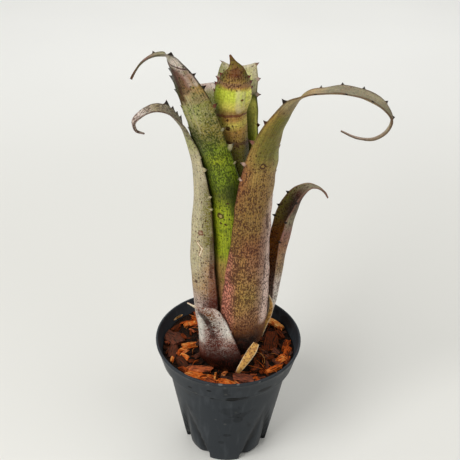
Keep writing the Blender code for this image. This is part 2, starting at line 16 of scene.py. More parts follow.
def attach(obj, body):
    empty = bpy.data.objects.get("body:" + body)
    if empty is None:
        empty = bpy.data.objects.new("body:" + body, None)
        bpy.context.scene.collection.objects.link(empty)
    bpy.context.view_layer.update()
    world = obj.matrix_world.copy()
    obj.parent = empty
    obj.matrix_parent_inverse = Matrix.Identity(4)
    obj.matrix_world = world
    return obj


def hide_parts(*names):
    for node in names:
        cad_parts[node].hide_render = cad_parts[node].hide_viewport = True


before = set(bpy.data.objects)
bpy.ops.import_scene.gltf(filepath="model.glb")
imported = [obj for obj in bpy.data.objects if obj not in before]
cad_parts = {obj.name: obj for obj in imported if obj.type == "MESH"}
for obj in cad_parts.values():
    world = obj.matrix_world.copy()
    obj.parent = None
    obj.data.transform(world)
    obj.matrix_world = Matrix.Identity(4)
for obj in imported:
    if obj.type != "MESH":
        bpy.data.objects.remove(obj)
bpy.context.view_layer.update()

log = logging.getLogger("bromeliad")

MM = 0.001
BODY = "root"

# The pot's axis from the point under the middle of the plant's outline, in millimetres
POT_X = -12.97

Piece = bpy.types.Object
Finish = bpy.types.Material
Triple = tuple[float, float, float]
Station = tuple[float, float, float, float, float, float]
Tooth = tuple[int, float, float, float]
Faces = list[tuple[int, ...]]


class Tint(Enum):
    """Colours of the plant, the bark and the pot, as screen values."""

    PLUM = (52, 20, 12)
    WINE = (102, 46, 32)
    UMBER = (100, 58, 24)
    BRONZE = (156, 94, 12)
    CHESTNUT = (136, 88, 50)
    DUSK = (150, 106, 68)
    ROSE = (200, 126, 104)
    BLUSH = (232, 202, 186)
    MAUVE = (156, 122, 104)
    LILAC = (180, 156, 142)
    HEATHER = (132, 92, 80)
    TAN = (162, 136, 94)
    FAWN = (172, 162, 124)
    SILVER = (202, 188, 176)
    PEWTER = (154, 156, 90)
    SLATE = (124, 118, 90)
    OCHRE = (154, 124, 62)
    TAWNY = (138, 106, 52)
    KHAKI = (130, 116, 46)
    MOSS = (108, 102, 34)
    OLIVE = (84, 88, 16)
    LEAF = (110, 128, 20)
    FERN = (80, 92, 10)
    FOREST = (42, 52, 2)
    LIME = (138, 148, 26)
    FRESH = (196, 204, 72)
    BUTTER = (212, 198, 92)
    AMBER = (178, 136, 66)
    LICHEN = (150, 136, 96)
    # Over-bright yellow-green, used only for painted light on the heart and back leaves
    GLOW = (236, 232, 116)
    MAROON = (56, 20, 14)
    INK = (30, 20, 14)
    COAL = (14, 6, 3)
    BISTRE = (60, 28, 6)
    SIENNA = (112, 44, 10)
    EMBER = (204, 94, 28)
    PAPER = (216, 210, 198)
    CREAM = (230, 214, 184)
    STRAW = (222, 168, 92)


def linear(colour: Tint | tuple[int, int, int]) -> tuple[float, float, float, float]:
    """Scene-linear colour with alpha of a screen colour.

    Args:
        colour: a tint, or red, green and blue from 0 to 255.

    Returns:
        Red, green, blue and alpha from 0 to 1.
    """
    values = colour.value if isinstance(colour, Tint) else colour
    parts = [v / 255.0 for v in values]
    curve = [v / 12.92 if v <= 0.04045 else ((v + 0.055) / 1.055) ** 2.4 for v in parts]
    return (curve[0], curve[1], curve[2], 1.0)


class Ink:
    """A shader socket that takes plain arithmetic."""

    def __init__(self, bench: "Bench", socket: bpy.types.NodeSocket) -> None:
        """Wraps one output socket of a finish."""
        self.bench = bench
        self.socket = socket

    def _math(self, operation: str, first: "Feed", second: "Feed") -> "Ink":
        """One Math node on two values."""
        return self.bench.node("ShaderNodeMath", {"operation": operation}, {0: first, 1: second})

    def __add__(self, other: "Feed") -> "Ink":
        """Sum."""
        return self._math("ADD", self, other)

    def __radd__(self, other: "Feed") -> "Ink":
        """Sum with a number on the left."""
        return self._math("ADD", other, self)

    def __sub__(self, other: "Feed") -> "Ink":
        """Difference."""
        return self._math("SUBTRACT", self, other)

    def __rsub__(self, other: "Feed") -> "Ink":
        """Difference from a number on the left."""
        return self._math("SUBTRACT", other, self)

    def __mul__(self, other: "Feed") -> "Ink":
        """Product."""
        return self._math("MULTIPLY", self, other)

    def __rmul__(self, other: "Feed") -> "Ink":
        """Product with a number on the left."""
        return self._math("MULTIPLY", other, self)

    def __truediv__(self, other: "Feed") -> "Ink":
        """Quotient."""
        return self._math("DIVIDE", self, other)

    def __abs__(self) -> "Ink":
        """Size without the sign."""
        return self._math("ABSOLUTE", self, 0.0)

    def peak(self, other: "Feed") -> "Ink":
        """Greater of two values."""
        return self._math("MAXIMUM", self, other)

    def other(self, name: str) -> "Ink":
        """Another output of the same node."""
        return Ink(self.bench, self.socket.node.outputs[name])


Feed = Ink | float | int | tuple | Tint


class Bench:
    """Material under construction, with the nodes that its finish needs."""

    def __init__(self, name: str) -> None:
        """Starts an empty material with its output and surface shader.

        Args:
            name: the material's name.
        """
        self.material = bpy.data.materials.new(name)
        self.material.use_nodes = True
        self.tree = self.material.node_tree
        self.tree.nodes.clear()
        self.surface = self.tree.nodes.new("ShaderNodeBsdfPrincipled")
        output = self.tree.nodes.new("ShaderNodeOutputMaterial")
        self.tree.links.new(self.surface.outputs[0], output.inputs[0])

    def node(self, kind: str, settings: dict, sockets: dict, output: int | str = 0) -> Ink:
        """Adds a node, sets it and feeds its sockets.

        Args:
            kind: the node's type.
            settings: values of its properties; "stops" holds a ramp's places and colours.
            sockets: values or links by socket name or number.
            output: which output to hand back.

        Returns:
            The chosen output.
        """
        made = self.tree.nodes.new(kind)
        for key, value in settings.items():
            if key == "stops":
                self._set_stops(made.color_ramp, value)
            else:
                setattr(made, key, value)
        for key, value in sockets.items():
            self.feed(made.inputs[key], value)
        return Ink(self, made.outputs[output])

    def feed(self, socket: bpy.types.NodeSocket, value: Feed) -> None:
        """Links or sets one input socket.

        Args:
            socket: the input.
            value: what it gets.
        """
        if isinstance(value, Ink):
            self.tree.links.new(value.socket, socket)
        else:
            socket.default_value = linear(value) if isinstance(value, Tint) else value

    @staticmethod
    def _set_stops(ramp: bpy.types.ColorRamp, stops: Sequence[tuple[float, Feed]]) -> None:
        """Writes a ramp's stops.

        Args:
            ramp: the ramp.
            stops: places from 0 to 1 and their colours or grey values.
        """
        while len(ramp.elements) < len(stops):
            ramp.elements.new(1.0)
        for element, (place, colour) in zip(ramp.elements, stops):
            element.position = place
            shade = linear(colour) if isinstance(colour, Tint) else (colour, colour, colour, 1.0)
            element.color = shade

    def dress(self, **inputs: Feed) -> Finish:
        """Feeds the surface shader.

        Args:
            **inputs: values by input name, with an underscore for each space.

        Returns:
            The finished material.
        """
        for name, value in inputs.items():
            self.feed(self.surface.inputs[name.replace("_", " ")], value)
        return self.material

    def place(self) -> Ink:
        """Point on the piece in metres about the frame's origin."""
        return self.node("ShaderNodeTexCoord", {}, {}, "Object")

    def attribute(self, name: str) -> Ink:
        """Vector that the mesh carries at each point."""
        return self.node("ShaderNodeAttribute", {"attribute_name": name}, {}, "Vector")

    def parts(self, vector: Ink) -> tuple[Ink, Ink, Ink]:
        """The three numbers of a vector."""
        split = self.node("ShaderNodeSeparateXYZ", {}, {0: vector})
        return split, split.other("Y"), split.other("Z")

    def hypot(self, x: Ink, y: Ink) -> Ink:
        """Length of an offset."""
        return self.node("ShaderNodeMath", {"operation": "SQRT"}, {0: x * x + y * y})

    def join(self, x: Feed, y: Feed, z: Feed) -> Ink:
        """A vector from three numbers."""
        return self.node("ShaderNodeCombineXYZ", {}, {0: x, 1: y, 2: z})

    def stretch(self, vector: Ink, factors: Triple) -> Ink:
        """A vector with each part multiplied."""
        return self.node("ShaderNodeVectorMath", {"operation": "MULTIPLY"}, {0: vector, 1: factors})

    def blend(self, share: Feed, first: Feed, second: Feed, how: str = "MIX") -> Ink:
        """Mixes two colours by a share."""
        settings = {"data_type": "RGBA", "blend_type": how, "clamp_factor": True}
        return self.node("ShaderNodeMix", settings, {0: share, 6: first, 7: second}, 2)

    def step(self, value: Feed, low: float, high: float) -> Ink:
        """Eased step from 0 at low to 1 at high."""
        sockets = {"Value": value, "From Min": low, "From Max": high}
        return self.node("ShaderNodeMapRange", {"interpolation_type": "SMOOTHSTEP"}, sockets)

    def ramp(self, place: Feed, stops: Sequence[tuple[float, Feed]]) -> Ink:
        """Colour ramp read at a place from 0 to 1."""
        return self.node("ShaderNodeValToRGB", {"stops": stops}, {0: place})

    def cloud(self, place: Ink, scale: float, detail: float = 3.0, warp: float = 0.0) -> Ink:
        """Noise from 0 to 1."""
        sockets = {"Vector": place, "Scale": scale, "Detail": detail, "Distortion": warp}
        return self.node("ShaderNodeTexNoise", {}, sockets)

    def cells(self, place: Ink, scale: float) -> Ink:
        """Distance to the nearest of scattered points."""
        return self.node("ShaderNodeTexVoronoi", {}, {"Vector": place, "Scale": scale})

    def bump(self, height: Ink, strength: float, depth: float) -> Ink:
        """Fine relief; depth in millimetres."""
        sockets = {"Strength": strength, "Distance": depth * MM, "Height": height}
        return self.node("ShaderNodeBump", {}, sockets)


Colours = tuple[tuple[float, Tint], ...]
Amounts = tuple[tuple[float, float], ...]


class Canvas:
    """Surface of a blade that its colours and marks are painted on, with lengths in mm."""

    face_gap = 60.0

    def __init__(self, bench: Bench, length: float) -> None:
        """Reads the coordinates that the blade carries.

        Args:
            bench: the material under construction.
            length: length of the blade along its spine.
        """
        self.bench = bench
        self.length = length
        self.across, self.along, self.lane = bench.parts(bench.attribute("leaf_place"))
        self.inside, self.margin, self.thorn = bench.parts(bench.attribute("leaf_side"))
        self.outside = 1.0 - self.inside
        self.far = self.along / length
        self.flat = bench.join(self.across, self.along, self.inside * self.face_gap)

    def read(self, line: Colours | Amounts) -> Ink:
        """Colour or strength along the blade from its stops in mm."""
        return self.bench.ramp(self.far, [(mm / self.length, value) for mm, value in line])

    def cloud(self, stretch: Triple, detail: float, warp: float = 0.0) -> Ink:
        """Noise from 0 to 1, drawn out across and along the blade."""
        return self.bench.cloud(self.bench.stretch(self.flat, stretch), 1.0, detail, warp)


@dataclass(frozen=True)
class Band:
    """Cross band on the outer face: its centre and half width along the blade, tint, strength."""

    along: float
    half: float
    tint: Tint
    strength: float
    ragged: float = 5.0
    solid: float = 0.55
    gone: float = 1.15

    def paint(self, canvas: Canvas, colour: Ink, patch: Ink) -> Ink:
        """Lays the band over a colour.

        Args:
            canvas: the blade's surface.
            colour: what lies under the band.
            patch: broad noise that makes its edges ragged.

        Returns:
            The colour with the band.
        """
        reach = abs(canvas.along - self.along + self.ragged * (patch - 0.5)) / self.half
        share = (1.0 - canvas.bench.step(reach, self.solid, self.gone)) * self.strength
        return canvas.bench.blend(share * canvas.outside, colour, self.tint)


@dataclass(frozen=True)
class Spot:
    """Round mark on the outer face: place across and along, radius, tint and tint of a ring."""

    across: float
    along: float
    radius: float
    tint: Tint = Tint.INK
    halo: Tint | None = None
    ring_radius: float = 1.55
    strength: float = 0.9

    def paint(self, canvas: Canvas, colour: Ink, grain: Ink) -> Ink:
        """Lays the spot, and the ring round it where it has one, over a colour.

        Args:
            canvas: the blade's surface.
            colour: what lies under the spot.
            grain: fine noise that makes its edge uneven.

        Returns:
            The colour with the spot.
        """
        bench = canvas.bench
        offset = bench.hypot(canvas.across - self.across, canvas.along - self.along)
        reach = offset + 0.5 * (grain - 0.5)
        if self.halo:
            from_ring = abs(reach - self.ring_radius * self.radius)
            ring = 1.0 - bench.step(from_ring, 0.25, 0.7 * self.radius)
            colour = bench.blend(ring * 0.85 * canvas.outside, colour, self.halo)
        core = 1.0 - bench.step(reach, 0.6 * self.radius, 1.15 * self.radius)
        return bench.blend(core * self.strength * canvas.outside, colour, self.tint)


@dataclass(frozen=True)
class Stroke:
    """Drawn-out mark on the outer face: its two ends, half width, tint and strength.

    A stroke under the bands and flecks is a stain with a soft, ragged edge.
    """

    start: tuple[float, float]
    end: tuple[float, float]
    half: float
    tint: Tint
    strength: float = 0.9
    under: bool = False

    def paint(self, canvas: Canvas, colour: Ink, rough: Ink) -> Ink:
        """Lays the stroke over a colour.

        Args:
            canvas: the blade's surface.
            colour: what lies under the stroke.
            rough: noise that makes its edge uneven.

        Returns:
            The colour with the stroke.
        """
        bench = canvas.bench
        run_x, run_y = self.end[0] - self.start[0], self.end[1] - self.start[1]
        dx, dy = canvas.across - self.start[0], canvas.along - self.start[1]
        passed = (dx * run_x + dy * run_y) / (run_x**2 + run_y**2)
        share = bench.node("ShaderNodeClamp", {}, {0: passed})
        gap = bench.hypot(dx - share * run_x, dy - share * run_y)
        solid, ragged = (0.1, 3.0) if self.under else (0.55, 0.4)
        edge = gap + ragged * (rough - 0.5)
        core = 1.0 - bench.step(edge, solid * self.half, 1.15 * self.half)
        return bench.blend(core * self.strength * canvas.outside, colour, self.tint)


@dataclass(frozen=True)
class LeafSkin:
    """Colours of a blade along the left, middle and right line of each face, and its marks."""

    outer: tuple[Colours, Colours, Colours]
    inner: tuple[Colours, Colours, Colours]
    freckles: Amounts = ((0.0, 0.3),)
    freckle_tint: Tint = Tint.MAROON
    freckle_side: float = 0.0
    scurf: Amounts = ((0.0, 0.3),)
    scurf_tint: Tint = Tint.SILVER
    scurf_side: float = 0.0
    veining: float = 0.38
    mottle: float = 0.35
    mottle_tint: Tint = Tint.UMBER
    margin: Amounts = ((0.0, 0.5),)
    margin_tint: Tint = Tint.MAROON
    thorns: Colours = ((0.0, Tint.MAUVE),)
    bands: tuple[Band, ...] = ()
    spots: tuple[Spot, ...] = ()
    strokes: tuple[Stroke, ...] = ()
    rough: float = 0.5

    def finish(self, name: str, length: float) -> Finish:
        """Builds the blade's material.

        Args:
            name: the material's name.
            length: length of the blade along its spine in mm.

        Returns:
            The material.
        """
        bench = Bench(name)
        canvas = Canvas(bench, length)
        patch = bench.cloud(canvas.flat, 0.16, 3.0, 0.6)
        grain = bench.step(bench.cloud(canvas.flat, 0.8, 4.0), 0.34, 0.66)
        veins = bench.step(canvas.cloud((1.7, 0.07, 1.0), 3.0), 0.36, 0.64)
        scurf = self.scurf_lines(canvas)
        freckle = self.freckle_dots(canvas, patch)
        colour = bench.blend(
            canvas.inside, self.lanes(canvas, self.outer), self.lanes(canvas, self.inner)
        )
        colour = bench.blend(bench.step(patch, 0.5, 0.7) * self.mottle, colour, self.mottle_tint)
        light = 0.86 - 0.5 * self.veining + self.veining * veins + 0.34 * grain
        colour = bench.blend(1.0, colour, bench.join(light, light, light), "MULTIPLY")
        for stain in (stroke for stroke in self.strokes if stroke.under):
            colour = stain.paint(canvas, colour, patch)
        for band in self.bands:
            colour = band.paint(canvas, colour, patch)
        colour = bench.blend(scurf * 0.7, colour, self.scurf_tint)
        colour = bench.blend(freckle * 0.85, colour, self.freckle_tint)
        for mark in (stroke for stroke in self.strokes if not stroke.under):
            colour = mark.paint(canvas, colour, grain)
        for spot in self.spots:
            colour = spot.paint(canvas, colour, grain)
        edge = (1.0 - bench.step(canvas.margin, 0.25, 1.3)) * canvas.read(self.margin)
        colour = bench.blend(edge, colour, self.margin_tint)
        colour = bench.blend(
            bench.step(canvas.thorn, 0.04, 0.3), colour, canvas.read(self.thorns)
        )
        colour = bench.blend(bench.step(canvas.thorn, 0.4, 0.8) * 0.85, colour, Tint.INK)
        relief = 0.5 * veins + 0.3 * grain + 0.5 * scurf - 0.25 * freckle
        return bench.dress(
            Base_Color=colour,
            Roughness=self.rough + 0.2 * scurf + 0.16 * (grain - 0.5),
            Normal=bench.bump(relief, 0.5, 0.4),
            Specular_IOR_Level=0.16,
            Subsurface_Weight=0.06,
            Subsurface_Scale=0.0015,
        )

    def lanes(self, canvas: Canvas, lines: tuple[Colours, Colours, Colours]) -> Ink:
        """Colour of a face from its three lines.

        Args:
            canvas: the blade's surface.
            lines: colours along the left, middle and right line.

        Returns:
            The colour, which changes smoothly from line to line.
        """
        bench = canvas.bench
        left, middle, right = (canvas.read(line) for line in lines)
        colour = bench.blend(bench.step(0.0 - canvas.lane, 0.25, 0.95), middle, left)
        return bench.blend(bench.step(canvas.lane, 0.25, 0.95), colour, right)

    def freckle_dots(self, canvas: Canvas, patch: Ink) -> Ink:
        """Small dark dots and flecks, thicker on one side and in patches.

        Args:
            canvas: the blade's surface.
            patch: broad noise.

        Returns:
            How far a place lies in a dot or a fleck, from 0 to 1.
        """
        bench = canvas.bench
        cell = bench.cells(bench.stretch(canvas.flat, (1.15, 0.85, 1.0)), 0.58)
        chance, _, _ = bench.parts(cell.other("Color"))
        side = 1.0 + self.freckle_side * canvas.lane + 1.6 * (patch - 0.5)
        lean = canvas.read(self.freckles) * side
        dot = (1.0 - bench.step(cell, 0.2, 0.46)) * bench.step(0.8 * lean - chance, -0.05, 0.1)
        dashes = canvas.cloud((1.2, 0.62, 1.0), 2.5, 0.5)
        fleck = bench.step(dashes + 0.26 * (lean - 0.5), 0.55, 0.62)
        return dot.peak(fleck * 0.9)

    def scurf_lines(self, canvas: Canvas) -> Ink:
        """Pale broken cross lines of scales, thicker on one side.

        Args:
            canvas: the blade's surface.

        Returns:
            Strength of the scales.
        """
        lines = canvas.cloud((0.42, 1.05, 1.0), 2.0, 0.8)
        worm = 1.0 - canvas.bench.step(abs(lines - 0.5), 0.015, 0.075)
        amount = canvas.read(self.scurf) + self.scurf_side * canvas.lane
        return worm * amount.peak(0.0)


Grey = tuple[int, int, int]

# Dark tone of damp marks, also used as painted shade beside the feet, on the side feet and as
# painted shadow under the rim band
DAMP_AND_SHADE: Grey = (10, 12, 14)
# Pale tone of painted glints on the rim's lip
GLINT: Grey = (150, 152, 150)


@dataclass(frozen=True)
class SmudgeAndGlint:
    """Mark on the pot's front, dark for damp marks and painted shadow, pale for painted glints:
    place right of the axis and up in mm, half sizes, colour.
    """

    across: float
    height: float
    half_width: float
    half_height: float
    tone: Grey
    strength: float

    def paint(self, bench: Bench, x: Ink, z: Ink, broad: Ink, colour: Ink) -> Ink:
        """Lays the mark over the plastic.

        Args:
            bench: the material under construction.
            x: place to the right in mm, about the frame's origin.
            z: height in mm.
            broad: noise that makes the mark's edge uneven.
            colour: what lies under it.

        Returns:
            The colour with the mark.
        """
        dx = (x - (self.across + POT_X)) / self.half_width
        dz = (z - self.height) / self.half_height
        core = 1.0 - bench.step(bench.hypot(dx, dz) + 0.7 * (broad - 0.5), 0.7, 1.15)
        return bench.blend(core * self.strength, colour, linear(self.tone))


@dataclass(frozen=True)
class PlasticFinish:
    """Satin black moulded plastic with dust, splashes, damp marks, painted shade and painted
    glints.
    """

    body: Grey = (49, 53, 57)
    dusty: Grey = (76, 80, 84)
    wet: Grey = (12, 14, 16)
    dried: Grey = (96, 96, 92)
    smudges_and_glints: tuple[SmudgeAndGlint, ...] = (
        SmudgeAndGlint(1.0, 58.5, 7.0, 4.0, DAMP_AND_SHADE, 0.3),
        SmudgeAndGlint(7.8, 48.5, 3.4, 3.2, DAMP_AND_SHADE, 0.4),
        SmudgeAndGlint(1.7, 47.5, 4.0, 2.8, DAMP_AND_SHADE, 0.2),
        SmudgeAndGlint(0.5, 31.0, 3.2, 1.8, DAMP_AND_SHADE, 0.45),
        SmudgeAndGlint(-3.5, 22.0, 2.4, 2.0, DAMP_AND_SHADE, 0.35),
        SmudgeAndGlint(25.1, 79.6, 4.6, 1.8, DAMP_AND_SHADE, 0.9),
        SmudgeAndGlint(-11.9, 83.2, 2.0, 1.2, DAMP_AND_SHADE, 0.9),
        SmudgeAndGlint(-24.7, 80.4, 1.8, 1.3, DAMP_AND_SHADE, 0.9),
        SmudgeAndGlint(-10.0, 71.5, 1.6, 0.9, DAMP_AND_SHADE, 0.9),
        # Dark line along and just under the rim band's lower edge: painted shadow of the band's
        # step
        SmudgeAndGlint(4.0, 76.2, 5.0, 1.2, DAMP_AND_SHADE, 1.0),
        SmudgeAndGlint(3.4, 71.4, 4.6, 1.5, DAMP_AND_SHADE, 1.0),
        SmudgeAndGlint(10.4, 76.2, 5.0, 0.8, DAMP_AND_SHADE, 0.8),
        SmudgeAndGlint(10.4, 71.6, 5.0, 0.8, DAMP_AND_SHADE, 0.8),
        SmudgeAndGlint(-26.0, 50.0, 3.0, 4.6, DAMP_AND_SHADE, 0.25),
        # Painted glints: highlights along the rim's lip
        SmudgeAndGlint(-4.5, 91.8, 1.6, 0.5, GLINT, 0.35),
        SmudgeAndGlint(-12.5, 90.6, 1.0, 0.4, GLINT, 0.3),
        SmudgeAndGlint(7.0, 91.9, 1.0, 0.4, GLINT, 0.3),
        SmudgeAndGlint(21.0, 91.2, 0.9, 0.4, GLINT, 0.3),
    )

    def make(self) -> Finish:
        """Builds the pot's material.

        Returns:
            The material.
        """
        bench = Bench("black_plastic")
        place = bench.place()
        broad = bench.cloud(place, 45.0, 4.0, 0.5)
        fine = bench.cloud(place, 900.0, 3.0)
        splash = bench.cells(place, 150.0)
        streaks = bench.cloud(bench.stretch(place, (260.0, 260.0, 22.0)), 1.0, 3.0)
        dust = bench.step(streaks, 0.5, 0.8)
        wet = bench.step(bench.cloud(place, 75.0, 3.0, 0.4), 0.6, 0.66)
        chance, _, _ = bench.parts(splash.other("Color"))
        drop = (1.0 - bench.step(splash, 0.12, 0.2)) * bench.step(chance, 0.8, 0.82)
        shade, fin, _ = bench.parts(bench.attribute("pot_shade"))
        colour = bench.blend(dust * 0.5, linear(self.body), linear(self.dusty))
        # Painted shade: dark low in the sunk panels beside the feet, and on the flanks of the side
        # feet
        colour = bench.blend(shade * 0.9, colour, linear(DAMP_AND_SHADE))
        colour = bench.blend(fin, colour, linear(DAMP_AND_SHADE))
        colour = bench.blend(wet * 0.45, colour, linear(self.wet))
        colour = bench.blend(drop * 0.3, colour, linear(self.dried))
        x, y, z = bench.parts(place)
        marked = colour
        for front_mark in self.smudges_and_glints:
            marked = front_mark.paint(bench, x / MM, z / MM, broad, marked)
        front = 1.0 - bench.step(y, -0.03, -0.02)
        return bench.dress(
            Base_Color=bench.blend(front, colour, marked),
            Roughness=0.34 + 0.16 * broad + 0.1 * dust - 0.12 * wet,
            Normal=bench.bump(fine + 0.3 * streaks, 0.12, 0.12),
            Specular_IOR_Level=0.08,
        )


class BarkFinish:
    """Composted pine bark: chips from near black through red-brown to straw."""

    tones = (
        (0.0, Tint.COAL),
        (0.18, Tint.BISTRE),
        (0.38, Tint.SIENNA),
        (0.6, Tint.EMBER),
        (0.8, Tint.STRAW),
        (1.0, Tint.CREAM),
    )

    def make(self) -> Finish:
        """Builds the material of chips and fibres from their own tone and grain.

        Returns:
            The material.
        """
        bench = Bench("bark_mix")
        grain_place = bench.attribute("chip_grain")
        tone, weathered, _ = bench.parts(bench.attribute("chip_tone"))
        fibres = bench.cloud(bench.stretch(grain_place, (0.16, 1.5, 1.5)), 1.0, 5.0, 0.4)
        blotch = bench.cloud(grain_place, 0.4, 3.0)
        shade = tone + 0.6 * (fibres - 0.5) + 0.45 * (blotch - 0.5)
        colour = bench.blend(weathered * 0.7, bench.ramp(shade, self.tones), Tint.HEATHER)
        crack = 1.0 - bench.step(fibres, 0.36, 0.46)
        return bench.dress(
            Base_Color=bench.blend(crack * 0.85, colour, Tint.COAL),
            Roughness=0.8 - 0.3 * blotch,
            Normal=bench.bump(fibres + 0.4 * blotch, 0.9, 1.3),
            Specular_IOR_Level=0.08,
        )


class HumusFinish:
    """Dark crumbs between the chips."""

    tones = ((0.3, Tint.COAL), (0.6, Tint.INK), (0.85, Tint.BISTRE))

    def make(self) -> Finish:
        """Builds the material of the bed under the chips.

        Returns:
            The material.
        """
        bench = Bench("humus")
        place = bench.place()
        crumbs = bench.cells(place, 700.0)
        broad = bench.cloud(place, 180.0, 4.0)
        pale = (1.0 - bench.step(crumbs, 0.1, 0.4)) * 0.3
        return bench.dress(
            Base_Color=bench.blend(pale, bench.ramp(broad, self.tones), Tint.UMBER),
            Roughness=0.9 - 0.1 * broad,
            Normal=bench.bump(crumbs + broad, 0.9, 1.0),
            Specular_IOR_Level=0.1,
        )


class DryFinish:
    """Papery dead sheath: straw with brown streaks, blotches and specks."""

    def finish(self, name: str, length: float) -> Finish:
        """Builds the material of a dry piece.

        Args:
            name: the material's name.
            length: length of the piece along its spine in mm.

        Returns:
            The material.
        """
        bench = Bench(name)
        canvas = Canvas(bench, length)
        streak = canvas.cloud((2.4, 0.16, 1.0), 4.0, 0.3)
        blotch = bench.cloud(canvas.flat, 0.4, 3.0)
        speck = 1.0 - bench.step(bench.cells(canvas.flat, 0.6), 0.2, 0.36)
        rim = 1.0 - bench.step(canvas.margin, 0.1, 0.8)
        foot = 1.0 - bench.step(canvas.far, 0.0, 0.2)
        colour = bench.blend(bench.step(streak, 0.38, 0.68), Tint.AMBER, Tint.STRAW)
        colour = bench.blend(bench.step(blotch, 0.42, 0.62) * 0.75, colour, Tint.CHESTNUT)
        colour = bench.blend(speck * 0.8, colour, Tint.BISTRE)
        colour = bench.blend(rim * 0.7, colour, Tint.CREAM)
        return bench.dress(
            Base_Color=bench.blend(foot * 0.7, colour, Tint.UMBER),
            Roughness=0.72 + 0.15 * (blotch - 0.5),
            Normal=bench.bump(streak + 0.4 * blotch, 0.7, 0.4),
            Specular_IOR_Level=0.25,
        )


class StemFinish:
    """Fibrous stem tissue between the leaf bases."""

    tones = ((0.3, Tint.UMBER), (0.5, Tint.OCHRE), (0.7, Tint.TAN))

    def make(self) -> Finish:
        """Builds the stem's material.

        Returns:
            The material.
        """
        bench = Bench("stem_tissue")
        place = bench.place()
        fibres = bench.cloud(bench.stretch(place, (900.0, 900.0, 60.0)), 1.0, 4.0)
        rings = bench.cloud(bench.stretch(place, (40.0, 40.0, 420.0)), 1.0, 3.0)
        return bench.dress(
            Base_Color=bench.ramp(0.6 * fibres + 0.4 * rings, self.tones),
            Roughness=0.7 + 0.15 * (rings - 0.5),
            Normal=bench.bump(fibres + rings, 0.6, 0.4),
        )


def smoothstep(x: np.ndarray | float) -> np.ndarray | float:
    """Eased step from 0 to 1."""
    x = np.clip(x, 0.0, 1.0)
    return x * x * (3 - 2 * x)


def hermite(knots: np.ndarray, values: np.ndarray, at: np.ndarray) -> np.ndarray:
    """Smooth curve through rows of values.

    Args:
        knots: distance of each row along the curve.
        values: one row of numbers for each knot.
        at: distances to read.

    Returns:
        One row of numbers for each distance.
    """
    spans = np.diff(knots)
    steps = np.diff(values, axis=0) / spans[:, None]
    slopes = np.zeros_like(values)
    inner = steps[:-1] * spans[1:, None] + steps[1:] * spans[:-1, None]
    slopes[1:-1] = inner / (spans[:-1] + spans[1:])[:, None]
    slopes[0] = steps[0]
    slopes[-1] = steps[-1]
    i = np.clip(np.searchsorted(knots, at, side="right") - 1, 0, len(knots) - 2)
    h = spans[i][:, None]
    t = ((at - knots[i]) / spans[i])[:, None]
    start = (2 * t**3 - 3 * t**2 + 1) * values[i] + (t**3 - 2 * t**2 + t) * h * slopes[i]
    end = (3 * t**2 - 2 * t**3) * values[i + 1] + (t**3 - t**2) * h * slopes[i + 1]
    return start + end


def unit(rows: np.ndarray) -> np.ndarray:
    """Rows scaled to a length of 1."""
    return rows / np.linalg.norm(rows, axis=1)[:, None]


def ring_points(
    radius: np.ndarray | float, turn: np.ndarray, z: np.ndarray | float
) -> np.ndarray:
    """Points round the pot's axis, at directions in radians."""
    return np.stack(np.broadcast_arrays(radius * np.cos(turn), radius * np.sin(turn), z), 1)


def tube_faces(rings: int, around: int) -> Faces:
    """Faces between closed rings of points that lie one after another.

    Args:
        rings: how many rings there are.
        around: points of each ring.

    Returns:
        The faces, ring by ring.
    """
    faces: Faces = []
    for low in range(0, (rings - 1) * around, around):
        high = low + around
        for k in range(around):
            n = (k + 1) % around
            faces.append((low + k, low + n, high + n, high + k))
    return faces


def new_piece(
    name: str, points: np.ndarray, faces: Faces, finish: Finish, smooth: bool
) -> Piece:
    """Makes an object from points in millimetres about the pot's axis.

    Args:
        name: the object's name.
        points: places, one row each.
        faces: corner numbers of each face.
        finish: its material.
        smooth: whether its faces shade smoothly.

    Returns:
        The object.
    """
    mesh = bpy.data.meshes.new(name)
    placed = (np.asarray(points, float) + np.array([POT_X, 0.0, 0.0])) * MM
    mesh.from_pydata(placed.tolist(), [], faces)
    mesh.validate()
    mesh.materials.append(finish)
    mesh.polygons.foreach_set("use_smooth", [smooth] * len(mesh.polygons))
    mesh.update()
    made = bpy.data.objects.new(name, mesh)
    bpy.context.scene.collection.objects.link(made)
    return made


def carry(piece: Piece, name: str, rows: np.ndarray) -> None:
    """Writes one vector for each point of a mesh."""
    stored = piece.data.attributes.new(name, "FLOAT_VECTOR", "POINT")
    stored.data.foreach_set("vector", np.asarray(rows, np.float32).ravel())


def stand_for(piece: Piece, node: str) -> None:
    """Puts a piece in the place of a CAD node.

    Args:
        piece: the detailed piece.
        node: the node's name.
    """
    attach(piece, BODY)
    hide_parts(node)


